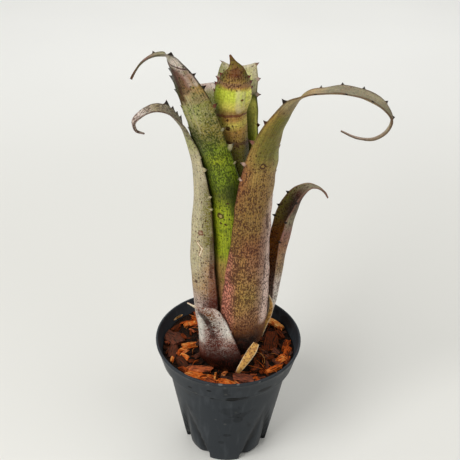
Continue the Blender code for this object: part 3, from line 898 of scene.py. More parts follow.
@dataclass
class LeafBlade:
    """Channelled strap leaf with thorns along its margins, in millimetres and degrees.

    Each station gives x, y, z about the pot's axis, half width, half angle of the channel and
    heading of the width. Each tooth gives the side, the distance along the spine, the length
    and the lean towards the tip.
    """

    name: str
    node: str
    slot: str
    stations: tuple[Station, ...]
    teeth: tuple[Tooth, ...]
    skin: LeafSkin | DryFinish
    seed: int
    middle: float = 1.6
    edge: float = 0.7
    full_width: float = 10.0
    columns: int = 33
    row_step: float = 1.1
    least_step: float = 0.12
    wave: float = 0.35
    wave_from: float = 112.0
    wave_grows: float = 50.0
    wave_lengths: tuple[float, float, float, float] = (6.5, 11.0, 2.6, 4.1)
    rim_round: float = 0.5
    thorn_zone: float = 0.2
    thorn_base: float = 1.9
    thorn_rows: int = 13
    thorn_hook: float = 0.18
    values: np.ndarray = field(init=False)
    knots: np.ndarray = field(init=False)

    def __post_init__(self) -> None:
        """Measures the spine."""
        self.values = np.array(self.stations, float)
        steps = np.linalg.norm(np.diff(self.values[:, :3], axis=0), axis=1)
        self.knots = np.concatenate([[0.0], np.cumsum(steps)])

    @property
    def length(self) -> float:
        """Length along the spine."""
        return float(self.knots[-1])

    def at(self, distance: np.ndarray) -> np.ndarray:
        """Station values at distances along the spine."""
        inside = np.clip(np.asarray(distance, float), 0.0, self.length)
        return hermite(self.knots, self.values, inside)

    def surface(self, distance: np.ndarray, lane: np.ndarray) -> tuple[np.ndarray, ...]:
        """Middle surface of the blade.

        Args:
            distance: distances along the spine.
            lane: places across the blade from -1 to 1.

        Returns:
            Points, normals of the inner face, outward tangents and directions of the spine.
        """
        row = self.at(distance)
        reach = 0.25
        along = unit(self.at(distance + reach)[:, :3] - self.at(distance - reach)[:, :3])
        heading = np.radians(row[:, 5])
        wide = np.stack([np.cos(heading), np.sin(heading), np.zeros_like(heading)], 1)
        wide = unit(wide - (wide * along).sum(1)[:, None] * along)
        inner = np.cross(along, wide)
        curl = np.radians(np.maximum(row[:, 4], 1.0))
        radius = row[:, 3] / curl
        turn = lane * curl
        sine = np.sin(turn)[:, None]
        cosine = np.cos(turn)[:, None]
        point = row[:, :3] + radius[:, None] * (sine * wide + (1 - cosine) * inner)
        return point, cosine * inner - sine * wide, cosine * wide + sine * inner, along

    def thorn_half(self, length: float) -> float:
        """Half length of a thorn's foot on the margin."""
        return self.thorn_base * max(0.55, length / 3.2)

    def rows(self) -> np.ndarray:
        """Distances of the rows, closer together at the thorns.

        Returns:
            Distances along the spine from foot to tip.
        """
        found = list(np.arange(0.0, self.length, self.row_step)) + [self.length]
        for _, distance, length, _ in self.teeth:
            half = self.thorn_half(length)
            found += [distance + half * share for share in np.linspace(-1.0, 1.0, self.thorn_rows)]
        kept: list[float] = []
        for value in sorted(v for v in found if 0.0 <= v <= self.length):
            if not kept or value - kept[-1] > self.least_step:
                kept.append(value)
        return np.array(kept)

    def lanes(self) -> np.ndarray:
        """Places across the blade, closer together at the margins."""
        even = np.linspace(-1.0, 1.0, self.columns)
        return 0.45 * even + 0.55 * np.sin(even * math.pi / 2)

    def ripple(self, distance: np.ndarray, lane: np.ndarray, height: np.ndarray) -> np.ndarray:
        """Gentle unevenness of the blade, none at its base.

        Args:
            distance: distances along the spine.
            lane: places across the blade from -1 to 1.
            height: heights of the points.

        Returns:
            How far each point moves towards the inner face.
        """
        rng = random.Random(self.seed)
        phases = [rng.uniform(0.0, 2 * math.pi) for _ in self.wave_lengths]
        broad, long, rim, fine = (distance / w + p for w, p in zip(self.wave_lengths, phases))
        bend = 0.5 * np.sin(broad) * lane + 0.7 * np.sin(long) * (1 - lane**2)
        frill = 0.8 * np.sin(rim) * abs(lane) ** 5 + 0.4 * np.sin(fine + 3 * lane)
        fade = smoothstep((height - self.wave_from) / self.wave_grows)
        return self.wave * fade * (bend + frill)

    def thickness(self, lane: np.ndarray, width: np.ndarray) -> np.ndarray:
        """Thickness of the blade, full in the middle and round at the margins.

        Args:
            lane: places across the blade from -1 to 1.
            width: half width of the blade there.

        Returns:
            The thickness at each place.
        """
        fullness = np.minimum(1.0, 0.35 + width / self.full_width)
        thick = self.edge + (self.middle - self.edge) * (1 - lane**2) * fullness
        inward = 1 - np.minimum((1 - abs(lane)) * width / self.rim_round, 1.0)
        return thick * (0.3 + 0.7 * np.sqrt(np.maximum(0.0, 1 - inward**2)))

    def grow_thorns(
        self, distance: np.ndarray, lane: np.ndarray, outward: np.ndarray, along: np.ndarray
    ) -> tuple[np.ndarray, np.ndarray]:
        """Draws the thorns out of the margins.

        Args:
            distance: distances along the spine.
            lane: places across the blade from -1 to 1.
            outward: directions across the blade.
            along: directions of the spine.

        Returns:
            How far each point moves, and how far it lies up a thorn from 0 to 1.
        """
        push = np.zeros_like(along)
        share = np.zeros(len(distance))
        zone = np.clip((abs(lane) - 1 + self.thorn_zone) / self.thorn_zone, 0.0, 1.0) ** 2
        for side, place, length, lean in self.teeth:
            reach = 1 - abs(distance - place) / self.thorn_half(length)
            rise = np.clip(reach, 0.0, 1.0) ** 1.5 * zone * (np.sign(lane) == side)
            push += unit(side * outward + lean * along) * (rise * length)[:, None]
            push += along * (rise**2 * self.thorn_hook * length)[:, None]
            share = np.maximum(share, rise)
        return push, share

    def build(self) -> Piece:
        """Makes the blade, dresses it and puts it in its node's place.

        Returns:
            The blade.
        """
        rows = self.rows()
        grid = np.meshgrid(rows, self.lanes(), indexing="ij")
        distance, lane = (axis.ravel() for axis in grid)
        point, normal, outward, along = self.surface(distance, lane)
        width = self.at(distance)[:, 3]
        push, share = self.grow_thorns(distance, lane, outward, along)
        point = point + normal * self.ripple(distance, lane, point[:, 2])[:, None] + push
        half = (self.thickness(lane, width) * (1 - 0.8 * share) / 2)[:, None]
        points = np.concatenate([point + normal * half, point - normal * half])
        finish = self.skin.finish(self.name, self.length)
        blade = new_piece(self.name, points, self.skin_faces(len(rows)), finish, True)
        place = np.stack([lane * width, distance, lane], 1)
        carry(blade, "leaf_place", np.concatenate([place, place]))
        margin = (1 - abs(lane)) * width
        sides = [np.stack([np.full(len(lane), s), margin, share], 1) for s in (1.0, 0.0)]
        carry(blade, "leaf_side", np.concatenate(sides))
        stand_for(blade, self.node)
        return blade

    def skin_faces(self, count: int) -> Faces:
        """Faces of a closed blade with two sides, two margins and two ends.

        Args:
            count: rows along the blade.

        Returns:
            The faces.
        """

        def face(*corners: tuple[int, int, int]) -> tuple[int, ...]:
            """A face from the side, row and column of each corner."""
            return tuple((side * count + i) * self.columns + j for side, i, j in corners)

        faces: Faces = []
        far, end = self.columns - 1, count - 1
        for i in range(end):
            for j in range(far):
                faces.append(face((0, i, j), (0, i + 1, j), (0, i + 1, j + 1), (0, i, j + 1)))
                faces.append(face((1, i, j + 1), (1, i + 1, j + 1), (1, i + 1, j), (1, i, j)))
            faces.append(face((1, i, 0), (1, i + 1, 0), (0, i + 1, 0), (0, i, 0)))
            faces.append(face((0, i, far), (0, i + 1, far), (1, i + 1, far), (1, i, far)))
        for j in range(far):
            faces.append(face((0, 0, j), (0, 0, j + 1), (1, 0, j + 1), (1, 0, j)))
            faces.append(face((1, end, j), (1, end, j + 1), (0, end, j + 1), (0, end, j)))
        return faces


@dataclass
class NurseryPot:
    """Round black pot with a rim band, four feet and sunk panels between them, in millimetres."""

    rim_top: float = 92.0
    rim_inner: float = 48.7
    lip: tuple[tuple[float, float], ...] = (
        (49.95, 90.0),
        (50.15, 90.3),
        (50.2, 90.7),
        (50.2, 91.2),
        (50.1, 91.65),
        (49.85, 91.92),
        (49.55, 92.0),
        (49.1, 92.0),
        (48.85, 91.9),
        (48.7, 91.6),
    )
    band_top: tuple[float, float] = (49.6, 89.6)
    band_bottom: tuple[float, float] = (46.0, 75.4)
    body_top: tuple[float, float] = (42.8, 75.0)
    body_levels: tuple[float, ...] = (8.0, 14.0, 22.0, 30.0, 38.0, 45.0, 50.0, 54.0)
    shoulder_levels: tuple[float, ...] = (66.0, 74.3)
    base_radius: float = 29.6
    wall: float = 1.3
    floor_underside: float = 2.6
    floor_top: float = 4.2
    foot_inner: float = 24.4
    panel_depth: float = 3.6
    panel_middle: float = 1.3
    panel_top: float = 58.0
    foot_half: float = 20.0
    side_foot_half: float = 12.0
    foot_blend: float = 4.0
    panel_blend: float = 16.0
    between_lift: float = 0.7
    front_foot: float = -92.0
    around: int = 240
    drain_radius: float = 2.6
    drain_ring: float = 17.0
    drain_steps: int = 24
    drain_rim: float = 5.0
    sharp_angle: float = 38.0

    def panel_share(self, angle: np.ndarray, z: float) -> np.ndarray:
        """How far directions lie in a sunk panel.

        Args:
            angle: directions in degrees.
            z: height.

        Returns:
            Shares from 0 to 1.
        """
        if z >= self.panel_top:
            return np.zeros_like(angle)
        off, half = self.from_foot(angle, z)
        return smoothstep((off - half) / self.foot_blend)

    def on_side(self, angle: np.ndarray) -> np.ndarray:
        """1 for directions nearest to a foot at the side, 0 for the front and back ones."""
        return np.floor((angle - self.front_foot + 45.0) / 90.0) % 2

    def from_foot(self, angle: np.ndarray, z: float) -> tuple[np.ndarray, np.ndarray]:
        """How far directions are from a foot.

        Args:
            angle: directions in degrees.
            z: height.

        Returns:
            Degrees from the middle of the nearest foot, and that foot's half width in degrees.
        """
        off = abs((angle - self.front_foot + 45.0) % 90.0 - 45.0)
        foot = self.foot_half + (self.side_foot_half - self.foot_half) * self.on_side(angle)
        return off, foot + (45.0 - foot) * max(z, 0.0) / self.panel_top

    def body_radius(self, angle: np.ndarray, z: float) -> np.ndarray:
        """Outer radius of the tapered body.

        Args:
            angle: directions in degrees.
            z: height.

        Returns:
            The radius in each direction.
        """
        top_radius, top = self.body_top
        radius = self.base_radius + (top_radius - self.base_radius) * z / top
        off, half = self.from_foot(angle, z)
        full = smoothstep((off - half - self.foot_blend) / self.panel_blend)
        depth = self.panel_depth + (self.panel_middle - self.panel_depth) * full
        return radius - depth * max(0.0, 1.0 - z / self.panel_top) * self.panel_share(angle, z)

    def profile(self, angles: np.ndarray) -> list[np.ndarray]:
        """Rings of the pot from the middle of its underside round to the middle of its floor.

        Args:
            angles: directions of a ring's points in degrees.

        Returns:
            The points of each ring.
        """
        turn = np.radians(angles)
        between = self.panel_share(angles, 0.0)

        def level(radius: float, z: float) -> np.ndarray:
            """A round, level ring."""
            return ring_points(radius, turn, z)

        def body(z: float, inset: float = 0.0) -> np.ndarray:
            """A ring that follows the body."""
            return ring_points(self.body_radius(angles, z) - inset, turn, z)

        def sole(inset: float, lift: float) -> np.ndarray:
            """A ring on the outer edge of the soles, rounder and raised between them."""
            radius = self.body_radius(angles, 0.0) - inset * (1.0 + 3.0 * between)
            return ring_points(radius, turn, (self.between_lift + 3.0 * lift) * between + lift)

        low_r, low_z = self.band_bottom
        rise_r, rise_z = self.band_top[0] - low_r, self.band_top[1] - low_z
        body_r, body_z = self.body_top
        rings = [level(self.drain_ring + self.drain_rim, self.floor_underside)]
        rings += [level(self.foot_inner - 0.8, self.floor_underside)]
        rings += [ring_points(self.foot_inner, turn, self.floor_underside * between)]
        rings += [sole(0.5, 0.0), sole(0.15, 0.15), sole(0.0, 0.5)]
        rings += [body(z) for z in (*self.body_levels, self.panel_top, *self.shoulder_levels)]
        rings += [level(body_r + 0.25, body_z), level(low_r - 0.4, low_z - 0.25)]
        rings += [level(low_r, low_z + 0.1), level(low_r + 0.12, low_z + 0.6)]
        rings += [level(low_r + rise_r * s, low_z + rise_z * s) for s in (0.25, 0.5, 0.75, 1.0)]
        rings += [level(radius, z) for radius, z in self.lip]
        rings += [level(self.rim_inner - 0.5, self.rim_top - 1.6)]
        rings += [level(low_r - self.wall, low_z + 1.2), level(body_r - 1.5, body_z - 1.2)]
        rings += [body(z, self.wall) for z in (self.panel_top, *reversed(self.body_levels))]
        rings += [body(self.floor_top + 0.6, self.wall), body(self.floor_top, self.wall + 0.6)]
        return rings + [level(self.drain_ring + self.drain_rim, self.floor_top)]

    def build(self, finish: Finish) -> Piece:
        """Lofts the pot, closes its floor round the drain holes and puts it in place.

        Args:
            finish: the plastic.

        Returns:
            The pot.
        """
        rings = self.profile(np.arange(self.around) * 360.0 / self.around)
        faces = tube_faces(len(rings), self.around)
        pot = new_piece("nursery_pot", np.concatenate(rings), faces, finish, True)
        carry(pot, "pot_shade", np.concatenate([self.shade(ring) for ring in rings]))
        self.close_floor(pot)
        pot.data.set_sharp_from_angle(angle=math.radians(self.sharp_angle))
        stand_for(pot, "pot")
        return pot

    def shade(self, ring: np.ndarray) -> np.ndarray:
        """Painted shade in the sunk panels beside the feet, and on the feet at the sides.

        Args:
            ring: points of a ring.

        Returns:
            Painted shade in the panels, painted shade of the side feet and nothing for each point.
        """
        angle = np.degrees(np.arctan2(ring[:, 1], ring[:, 0]))
        z = float(ring[0, 2])
        off, half = self.from_foot(angle, z)
        past = off - half
        low = max(0.0, 1.0 - z / self.panel_top)
        beside = smoothstep((past + 1.0) / 3.0) * (1.0 - smoothstep((past - 4.0) / 12.0))
        outside = np.hypot(ring[:, 0], ring[:, 1]) > self.body_radius(angle, z) - 0.5
        # Painted shade on the side feet, which face away from the light
        fin = (1.0 - smoothstep((off - self.side_foot_half) / 5.0)) * self.on_side(angle)
        fins = fin * outside * float(z < self.body_top[1])
        # Painted shade, darkest low down just beside the feet
        painted_panel_shade = beside * min(1.0, 1.6 * low) * outside
        return np.stack([painted_panel_shade, fins, np.zeros_like(painted_panel_shade)], 1)

    def drain_holes(self) -> list[tuple[float, float]]:
        """Middles of the five drain holes.

        Returns:
            Places about the pot's axis.
        """
        turns = [math.radians(self.front_foot + 45.0 + 90.0 * k) for k in range(4)]
        ring = self.drain_ring
        return [(0.0, 0.0)] + [(ring * math.cos(turn), ring * math.sin(turn)) for turn in turns]

    def close_floor(self, pot: Piece) -> None:
        """Adds the floor plate with its drain holes between the first and the last ring.

        Args:
            pot: the open pot.
        """
        shape = bmesh.new()
        shape.from_mesh(pot.data)
        shape.verts.ensure_lookup_table()
        last = len(shape.verts) - self.around
        steps = [(k, (k + 1) % self.drain_steps) for k in range(self.drain_steps)]
        walls = []
        for level, start in ((self.floor_underside, 0), (self.floor_top, last)):
            rim = [shape.verts[start + k] for k in range(self.around)]
            edges = [shape.edges.get(pair) for pair in zip(rim, rim[1:] + rim[:1])]
            loops = [self.hole_loop(shape, hole, level) for hole in self.drain_holes()]
            edges += [shape.edges.new((loop[k], loop[n])) for loop in loops for k, n in steps]
            bmesh.ops.triangle_fill(shape, edges=edges, use_beauty=True)
            walls.append(loops)
            shape.verts.ensure_lookup_table()
        for low, high in zip(*walls):
            for k, n in steps:
                shape.faces.new((low[n], low[k], high[k], high[n]))
        bmesh.ops.recalc_face_normals(shape, faces=shape.faces)
        shape.to_mesh(pot.data)
        shape.free()

    def hole_loop(
        self, shape: bmesh.types.BMesh, hole: tuple[float, float], level: float
    ) -> list[bmesh.types.BMVert]:
        """Adds the points of a drain hole's edge.

        Args:
            shape: the pot's mesh.
            hole: middle of the hole.
            level: height of the edge.

        Returns:
            The points in order.
        """
        turns = [2 * math.pi * k / self.drain_steps for k in range(self.drain_steps)]
        x, y, r = hole[0] + POT_X, hole[1], self.drain_radius
        places = [Vector((x + r * math.cos(a), y + r * math.sin(a), level)) for a in turns]
        return [shape.verts.new(place * MM) for place in places]


# x, y, length, width, thickness, turn, pitch, height above the mix, tone, greying
CHIPS = (
    (-19, -26.2, 16, 6, 4.5, -4, -3, 1.8, 0.54, 0.45),
    (-18.3, -31.8, 17, 7, 4, -10, 6, 0.8, 0.6, 0),
    (-10.5, -36.8, 9, 5, 4, -30, 6, 1.0, 0.46, 0.2),
    (-8.2, -33, 8, 1.8, 2.6, 84, 10, 1.8, 0.66, 0),
    (-0.8, -38.2, 12, 5, 4, -14, 6, 1.2, 0.6, 0),
    (10.6, -33, 13, 8.5, 4.5, -14, -4, 1.2, 0.38, 0.5),
    (8.5, -40.5, 8, 4, 4, 10, 5, 1.0, 0.36, 0.3),
    (18.8, -23.2, 8, 5.5, 4, 60, 8, 1.0, 0.3, 0.1),
    (21.5, -34.5, 10, 4.5, 3.5, 30, 8, 0.8, 0.3, 0.2),
    (31, -23.8, 13, 4.5, 4, 26, -6, 1.4, 0.58, 0),
    (37, -13.4, 9, 6, 4.5, 50, 8, 1.8, 0.62, 0),
    (40.5, 0.5, 10, 5.5, 4, 76, -6, 1.4, 0.42, 0),
    (27.5, -11, 9, 6, 4, 30, 6, 0.8, 0.26, 0),
    (29.3, 4.3, 18, 11, 5, 80, -6, 1.8, 0.25, 0),
    (33.5, 24, 15, 6.5, 4, -42, 6, 2.2, 0.68, 0),
    (36.5, 13, 9, 5, 4, -60, 7, 1.0, 0.28, 0),
    (-39.3, 6, 17, 11, 5, -50, -5, 1.6, 0.22, 0.3),
    (-26.7, -1, 10, 5, 4, 20, 6, 1.6, 0.62, 0),
    (-27.9, 22.4, 9, 5, 4, 30, 5, 1.4, 0.6, 0),
    (-36.9, 26.8, 8, 1.4, 1.6, 42, 0, 2.6, 0.86, 0),
    (-31, -18.5, 11, 7, 4.5, -58, 7, 0.8, 0.2, 0.1),
    (-38.5, -8, 12, 7, 4, 84, -6, 0.8, 0.18, 0.2),
    (-29.5, -26.5, 7, 4, 3.5, -40, 6, 0.6, 0.36, 0),
    (-18, 28, 16, 8.5, 4.5, 12, -6, 1.4, 0.5, 0),
    (-38, 17.5, 9, 6, 4, 58, 8, 1.0, 0.24, 0),
    (-3, 33.5, 15, 9, 4, -16, 5, 1.2, 0.58, 0),
    (13, 32, 14, 8, 4.5, 34, -6, 1.6, 0.36, 0.2),
    (22, 36, 11, 5, 4, -38, 5, 1.2, 0.54, 0),
    (4, 40.5, 11, 5, 4, 4, 6, 1.0, 0.44, 0),
    (40.5, -7.5, 7, 4.5, 3.5, 82, 5, 1.0, 0.3, 0),
    (-12, 38.5, 9, 5, 3.5, 18, -5, 1.0, 0.34, 0),
    (-7.5, 24.5, 10, 6.5, 4, 56, 6, 1.2, 0.46, 0.2),
    (20, 20, 9, 6, 4, -36, -5, 1.0, 0.5, 0),
)


@dataclass(frozen=True)
class Flake:
    """Splintered flake of bark; the spreads are the ranges of its unevenness."""

    length: float
    width: float
    thickness: float
    around: int = 10
    stations: int = 8
    edge: tuple[float, float] = (0.82, 1.08)
    end_spread: float = 0.1
    skew_spread: float = 0.25
    bow_spread: float = 0.5
    rough: float = 0.05
    cap_share: float = 0.96

    def shape(self, place: Matrix, rng: random.Random) -> tuple[np.ndarray, Faces, np.ndarray]:
        """Forms the flake.

        Args:
            place: its place in the pot.
            rng: source of its unevenness.

        Returns:
            Its points, its faces and the grain coordinates of its points.
        """
        outline = self.outline(rng)
        wide = self.end_spread
        ends = [(rng.uniform(-wide, wide), rng.uniform(-wide, wide)) for _ in outline]
        skew = rng.uniform(-self.skew_spread, self.skew_spread)
        bow = rng.uniform(-self.bow_spread, self.bow_spread)
        offset = Vector([rng.uniform(0, 90) for _ in range(3)])
        spots = []
        for i in range(self.stations):
            t = i / (self.stations - 1)
            bulge = (2 * t - 1) ** 2
            taper = 0.8 + 0.2 * math.sin(math.pi * t) + rng.uniform(-self.rough, self.rough)
            for (u, v), (near, far) in zip(outline, ends):
                ragged = (1 - t) * near + t * far
                scale = taper * (1.0 + rng.uniform(-self.rough, self.rough))
                x = (t - 0.5 + ragged * bulge + skew * u * 0.6) * self.length
                z = v * self.thickness * scale + bow * (1 - bulge)
                spots.append(Vector((x, u * self.width * scale, z)))
        spots += [Vector((sign * self.length * self.cap_share, 0, 0)) for sign in (-0.5, 0.5)]
        points = np.array([tuple(place @ spot) for spot in spots])
        return points, self.faces(), np.array([tuple(spot + offset) for spot in spots])

    def outline(self, rng: random.Random) -> list[tuple[float, float]]:
        """Squarish section with an uneven edge.

        Args:
            rng: source of the unevenness.

        Returns:
            Places across and through the flake from -0.5 to 0.5.
        """
        places = []
        for k in range(self.around):
            a = 2 * math.pi * (k + 0.5) / self.around
            square = max(abs(math.cos(a)), abs(math.sin(a)) * 1.15)
            reach = rng.uniform(*self.edge) / square
            places.append((math.cos(a) * reach * 0.5, math.sin(a) * reach * 0.5))
        return places

    def faces(self) -> Faces:
        """Faces of the sides, and a fan at each end.

        Returns:
            The faces.
        """
        sides = tube_faces(self.stations, self.around)
        faces = [(a, d, c, b) for a, b, c, d in sides]
        last, near = (self.stations - 1) * self.around, self.stations * self.around
        for k in range(self.around):
            n = (k + 1) % self.around
            faces += [(k, n, near), (last + n, last + k, near + 1)]
        return faces


@dataclass
class Heap:
    """Loose pieces of bark gathered into one mesh inside the pot, in millimetres."""

    top: float
    wall_limit: float = 45.3
    wall_slope: float = 0.22
    points: list[np.ndarray] = field(default_factory=list)
    faces: Faces = field(default_factory=list)
    grain: list[np.ndarray] = field(default_factory=list)
    tones: list[Triple] = field(default_factory=list)

    def add(
        self, points: np.ndarray, faces: Faces, grain: np.ndarray, tone: float, grey: float
    ) -> None:
        """Adds one piece, drawn in where it would cross the pot's wall.

        Args:
            points: its points.
            faces: corner numbers of its faces.
            grain: grain coordinates of its points.
            tone: its tone from dark to light.
            grey: how weathered it is.
        """
        start = sum(len(p) for p in self.points)
        radius = np.hypot(points[:, 0], points[:, 1])
        limit = self.wall_limit + self.wall_slope * (points[:, 2] - self.top)
        squeeze = np.minimum(1.0, limit / np.maximum(radius, 1e-6))
        self.points.append(points * np.stack([squeeze, squeeze, np.ones_like(squeeze)], 1))
        self.faces += [tuple(start + corner for corner in face) for face in faces]
        self.grain.append(grain)
        self.tones += [(tone, grey, 0.0)] * len(points)

    def pour(self, name: str, finish: Finish, smooth: bool) -> Piece:
        """Turns the heap into one piece that rides with the pot.

        Args:
            name: the piece's name.
            finish: its material.
            smooth: whether its faces shade smoothly.

        Returns:
            The piece.
        """
        piece = new_piece(name, np.concatenate(self.points), self.faces, finish, smooth)
        carry(piece, "chip_grain", np.concatenate(self.grain))
        carry(piece, "chip_tone", np.array(self.tones))
        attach(piece, BODY)
        return piece


@dataclass
class PottingMix:
    """Bed of crumbs with bark chips and fibres on top, in millimetres."""

    pot: NurseryPot
    top: float = 82.6
    settled: float = 0.6
    radius: float = 45.6
    gap: float = 0.45
    wall_levels: tuple[float, ...] = (14.0, 30.0, 45.0, 58.0)
    neck: tuple[tuple[float, float], ...] = ((40.85, 73.8), (44.1, 77.6))
    around: int = 120
    top_rings: int = 42
    plant_x: float = 3.0
    plant_y: float = -3.0
    stem_clear: float = 9.0
    loose_chips: int = 150
    loose_tones: tuple[float, ...] = (0.04, 0.08, 0.14, 0.2, 0.26, 0.34, 0.46, 0.62)
    fibres: int = 60
    fibre_tones: tuple[float, ...] = (0.3, 0.5, 0.62, 0.74)
    fibre_sides: int = 5
    fibre_stations: int = 9
    seed: int = 11

    def build(self, humus: Finish, bark: Finish) -> list[Piece]:
        """Makes the bed, the chips and the fibres.

        Args:
            humus: the finish of the bed.
            bark: the finish of chips and fibres.

        Returns:
            The three pieces.
        """
        rng = random.Random(self.seed)
        return [self.build_bed(humus), self.build_chips(bark, rng), self.build_fibres(bark, rng)]

    def build_bed(self, finish: Finish) -> Piece:
        """Makes the body of the mix with an uneven top.

        Args:
            finish: its material.

        Returns:
            The bed.
        """
        angles = np.arange(self.around) * 360.0 / self.around
        turn = np.radians(angles)
        foot, level = self.pot.floor_top + self.gap, self.top - self.settled
        walls = (foot, *self.wall_levels)
        rings = [ring_points(self.wall_radius(angles, z), turn, z) for z in walls]
        rings += [ring_points(radius, turn, z) for radius, z in self.neck]
        for share in np.linspace(1.0, 0.02, self.top_rings):
            ring = ring_points(self.radius * share, turn, level)
            ring[:, 2] += [self.uneven(x, y) for x, y, _ in ring]
            rings.append(ring)
        points = np.concatenate(rings + [[[0.0, 0.0, level]], [[0.0, 0.0, foot]]])
        faces = tube_faces(len(rings), self.around)
        last = (len(rings) - 1) * self.around
        for k in range(self.around):
            n = (k + 1) % self.around
            faces += [(last + k, last + n, len(points) - 2), (n, k, len(points) - 1)]
        bed = new_piece("potting_bed", points, faces, finish, True)
        stand_for(bed, "potting_mix")
        return bed

    def wall_radius(self, angles: np.ndarray, z: float) -> np.ndarray:
        """Radius of the bed, clear of the pot's wall.

        Args:
            angles: directions in degrees.
            z: height.

        Returns:
            The radius in each direction.
        """
        near = [self.pot.body_radius(angles + turn, z) for turn in (-7.5, 0.0, 7.5)]
        return np.minimum.reduce(near) - self.pot.wall - self.gap

    @staticmethod
    def uneven(x: float, y: float) -> float:
        """Unevenness of the crumbs.

        Args:
            x: place to the right of the pot's axis.
            y: place behind it.

        Returns:
            Height over the level of the bed.
        """
        coarse = noise.noise(Vector((x / 6.0, y / 6.0, 1.3)))
        fine = noise.noise(Vector((x / 1.8, y / 1.8, 7.1)))
        return 1.1 * coarse + 0.7 * fine

    def build_chips(self, finish: Finish, rng: random.Random) -> Piece:
        """Makes the large chips in their places and scatters small ones between them.

        Args:
            finish: their material.
            rng: source of what isn't given for a chip.

        Returns:
            The chips as one piece.
        """
        heap = Heap(self.top)
        for x, y, length, width, thickness, turn, pitch, height, tone, grey in CHIPS:
            z = self.top + height - thickness / 2 + 1.0
            place = self.placed(Vector((x, y, z)), turn, pitch, rng.uniform(-6, 6))
            heap.add(*Flake(length, width, thickness).shape(place, rng), tone, grey)
        for _ in range(self.loose_chips):
            spot = self.scattered(rng, 0.0, 0.93)
            if math.hypot(spot.x - self.plant_x, spot.y - self.plant_y) < self.stem_clear:
                continue
            length = rng.uniform(3.0, 9.0)
            width, thickness = length * rng.uniform(0.3, 0.65), rng.uniform(1.0, 2.4)
            spot.z = self.top + rng.uniform(-0.8, 1.0)
            turn = rng.uniform(0, 360)
            place = self.placed(spot, turn, rng.uniform(-22, 22), rng.uniform(-30, 30))
            tone = rng.choice(self.loose_tones)
            flake = Flake(length, width, thickness, around=8).shape(place, rng)
            heap.add(*flake, tone, rng.choice((0.0, 0.0, 0.3)))
        return heap.pour("bark_chips", finish, False)

    def scattered(self, rng: random.Random, low: float, high: float) -> Vector:
        """Place on the mix, drawn evenly over its area.

        Args:
            rng: source of the place.
            low: share of the area left out in the middle.
            high: share of the area up to the outermost place.

        Returns:
            The place at height 0.
        """
        r = self.radius * math.sqrt(rng.uniform(low, high))
        a = rng.uniform(0.0, 2 * math.pi)
        return Vector((r * math.cos(a), r * math.sin(a), 0.0))

    @staticmethod
    def placed(centre: Vector, turn: float, pitch: float, roll: float) -> Matrix:
        """Place of a chip from its centre and its three turns in degrees.

        Args:
            centre: the chip's middle.
            turn: turn about the upright axis.
            pitch: tilt along the chip.
            roll: tilt across it.

        Returns:
            The place as a matrix.
        """
        return (
            Matrix.Translation(centre)
            @ Matrix.Rotation(math.radians(turn), 4, "Z")
            @ Matrix.Rotation(math.radians(pitch), 4, "Y")
            @ Matrix.Rotation(math.radians(roll), 4, "X")
        )

    def build_fibres(self, finish: Finish, rng: random.Random) -> Piece:
        """Scatters thin coir fibres over the chips.

        Args:
            finish: their material.
            rng: source of their places and shapes.

        Returns:
            The fibres as one piece.
        """
        heap = Heap(self.top)
        sides, stations = self.fibre_sides, self.fibre_stations
        last = (stations - 1) * sides
        faces = tube_faces(stations, sides)
        faces += [tuple(reversed(range(sides))), tuple(range(last, last + sides))]
        for _ in range(self.fibres):
            points, grain = self.fibre(rng)
            heap.add(points, faces, grain, rng.choice(self.fibre_tones), 0.0)
        return heap.pour("bark_fibres", finish, True)

    def fibre(self, rng: random.Random) -> tuple[np.ndarray, np.ndarray]:
        """One arched fibre, thinner at its ends.

        Args:
            rng: source of its place and shape.

        Returns:
            Its points and their grain coordinates.
        """
        start = self.scattered(rng, 0.08, 0.8)
        heading = rng.uniform(0.0, 2 * math.pi)
        bend = rng.uniform(-0.5, 0.5)
        length = rng.uniform(7.0, 18.0)
        thick = rng.uniform(0.16, 0.34)
        lift = rng.uniform(1.6, 3.4)
        points, grain = [], []
        for i in range(self.fibre_stations):
            t = i / (self.fibre_stations - 1)
            way = heading + bend * (t - 0.5) * 2
            centre = start + Vector((math.cos(way), math.sin(way), 0.0)) * length * (t - 0.5)
            centre.z = self.top + lift * (0.5 + math.sin(math.pi * t) * 0.5)
            for k in range(self.fibre_sides):
                b = 2 * math.pi * k / self.fibre_sides
                flat = math.cos(b)
                out = Vector((-math.sin(way) * flat, math.cos(way) * flat, math.sin(b)))
                points.append(tuple(centre + out * thick * (1 - 0.6 * abs(2 * t - 1))))
                grain.append((t * length, k * 0.4, thick * 10))
        return np.array(points), np.array(grain)


LEAF_RIGHT_LONG = (
    (6.1, -9.65, 87, 6, 25, 25),
    (8.5, -16.5, 89.5, 11, 42, 22),
    (10.5, -20.5, 96, 15, 52, 20),
    (11.8, -22.3, 110, 18, 55, 18),
    (12.5, -22.5, 135, 18.3, 55, 16),
    (13.2, -21.6, 160, 16.4, 50, 17),
    (14.2, -20.5, 180, 14.6, 48, 19),
    (15.4, -21.1, 211, 13.2, 45, 20),
    (17.5, -21.6, 232, 11.8, 42, 20),
    (19.9, -23, 247, 10.2, 40, 22),
    (23.7, -25, 261, 8.5, 38, 28),
    (30.5, -27, 275, 6.9, 36, 38),
    (35.6, -29, 283, 6.4, 32, 48),
    (41, -31.4, 287, 4.8, 28, 65),
    (47, -34.4, 289.4, 4.6, 30, 75),
    (58.7, -38, 291.5, 6.5, 32, 76),
    (71.4, -42, 290, 6, 32, 78),
    (79.5, -45, 286.5, 4.6, 30, 80),
    (84, -47, 280, 1.9, 30, 84),
    (82, -47, 273.5, 1.6, 30, 86),
    (76.5, -46, 269, 1.5, 30, 86),
    (69, -44, 267.5, 1.2, 30, 86),
    (58.5, -40, 270, 0.5, 30, 86),
)
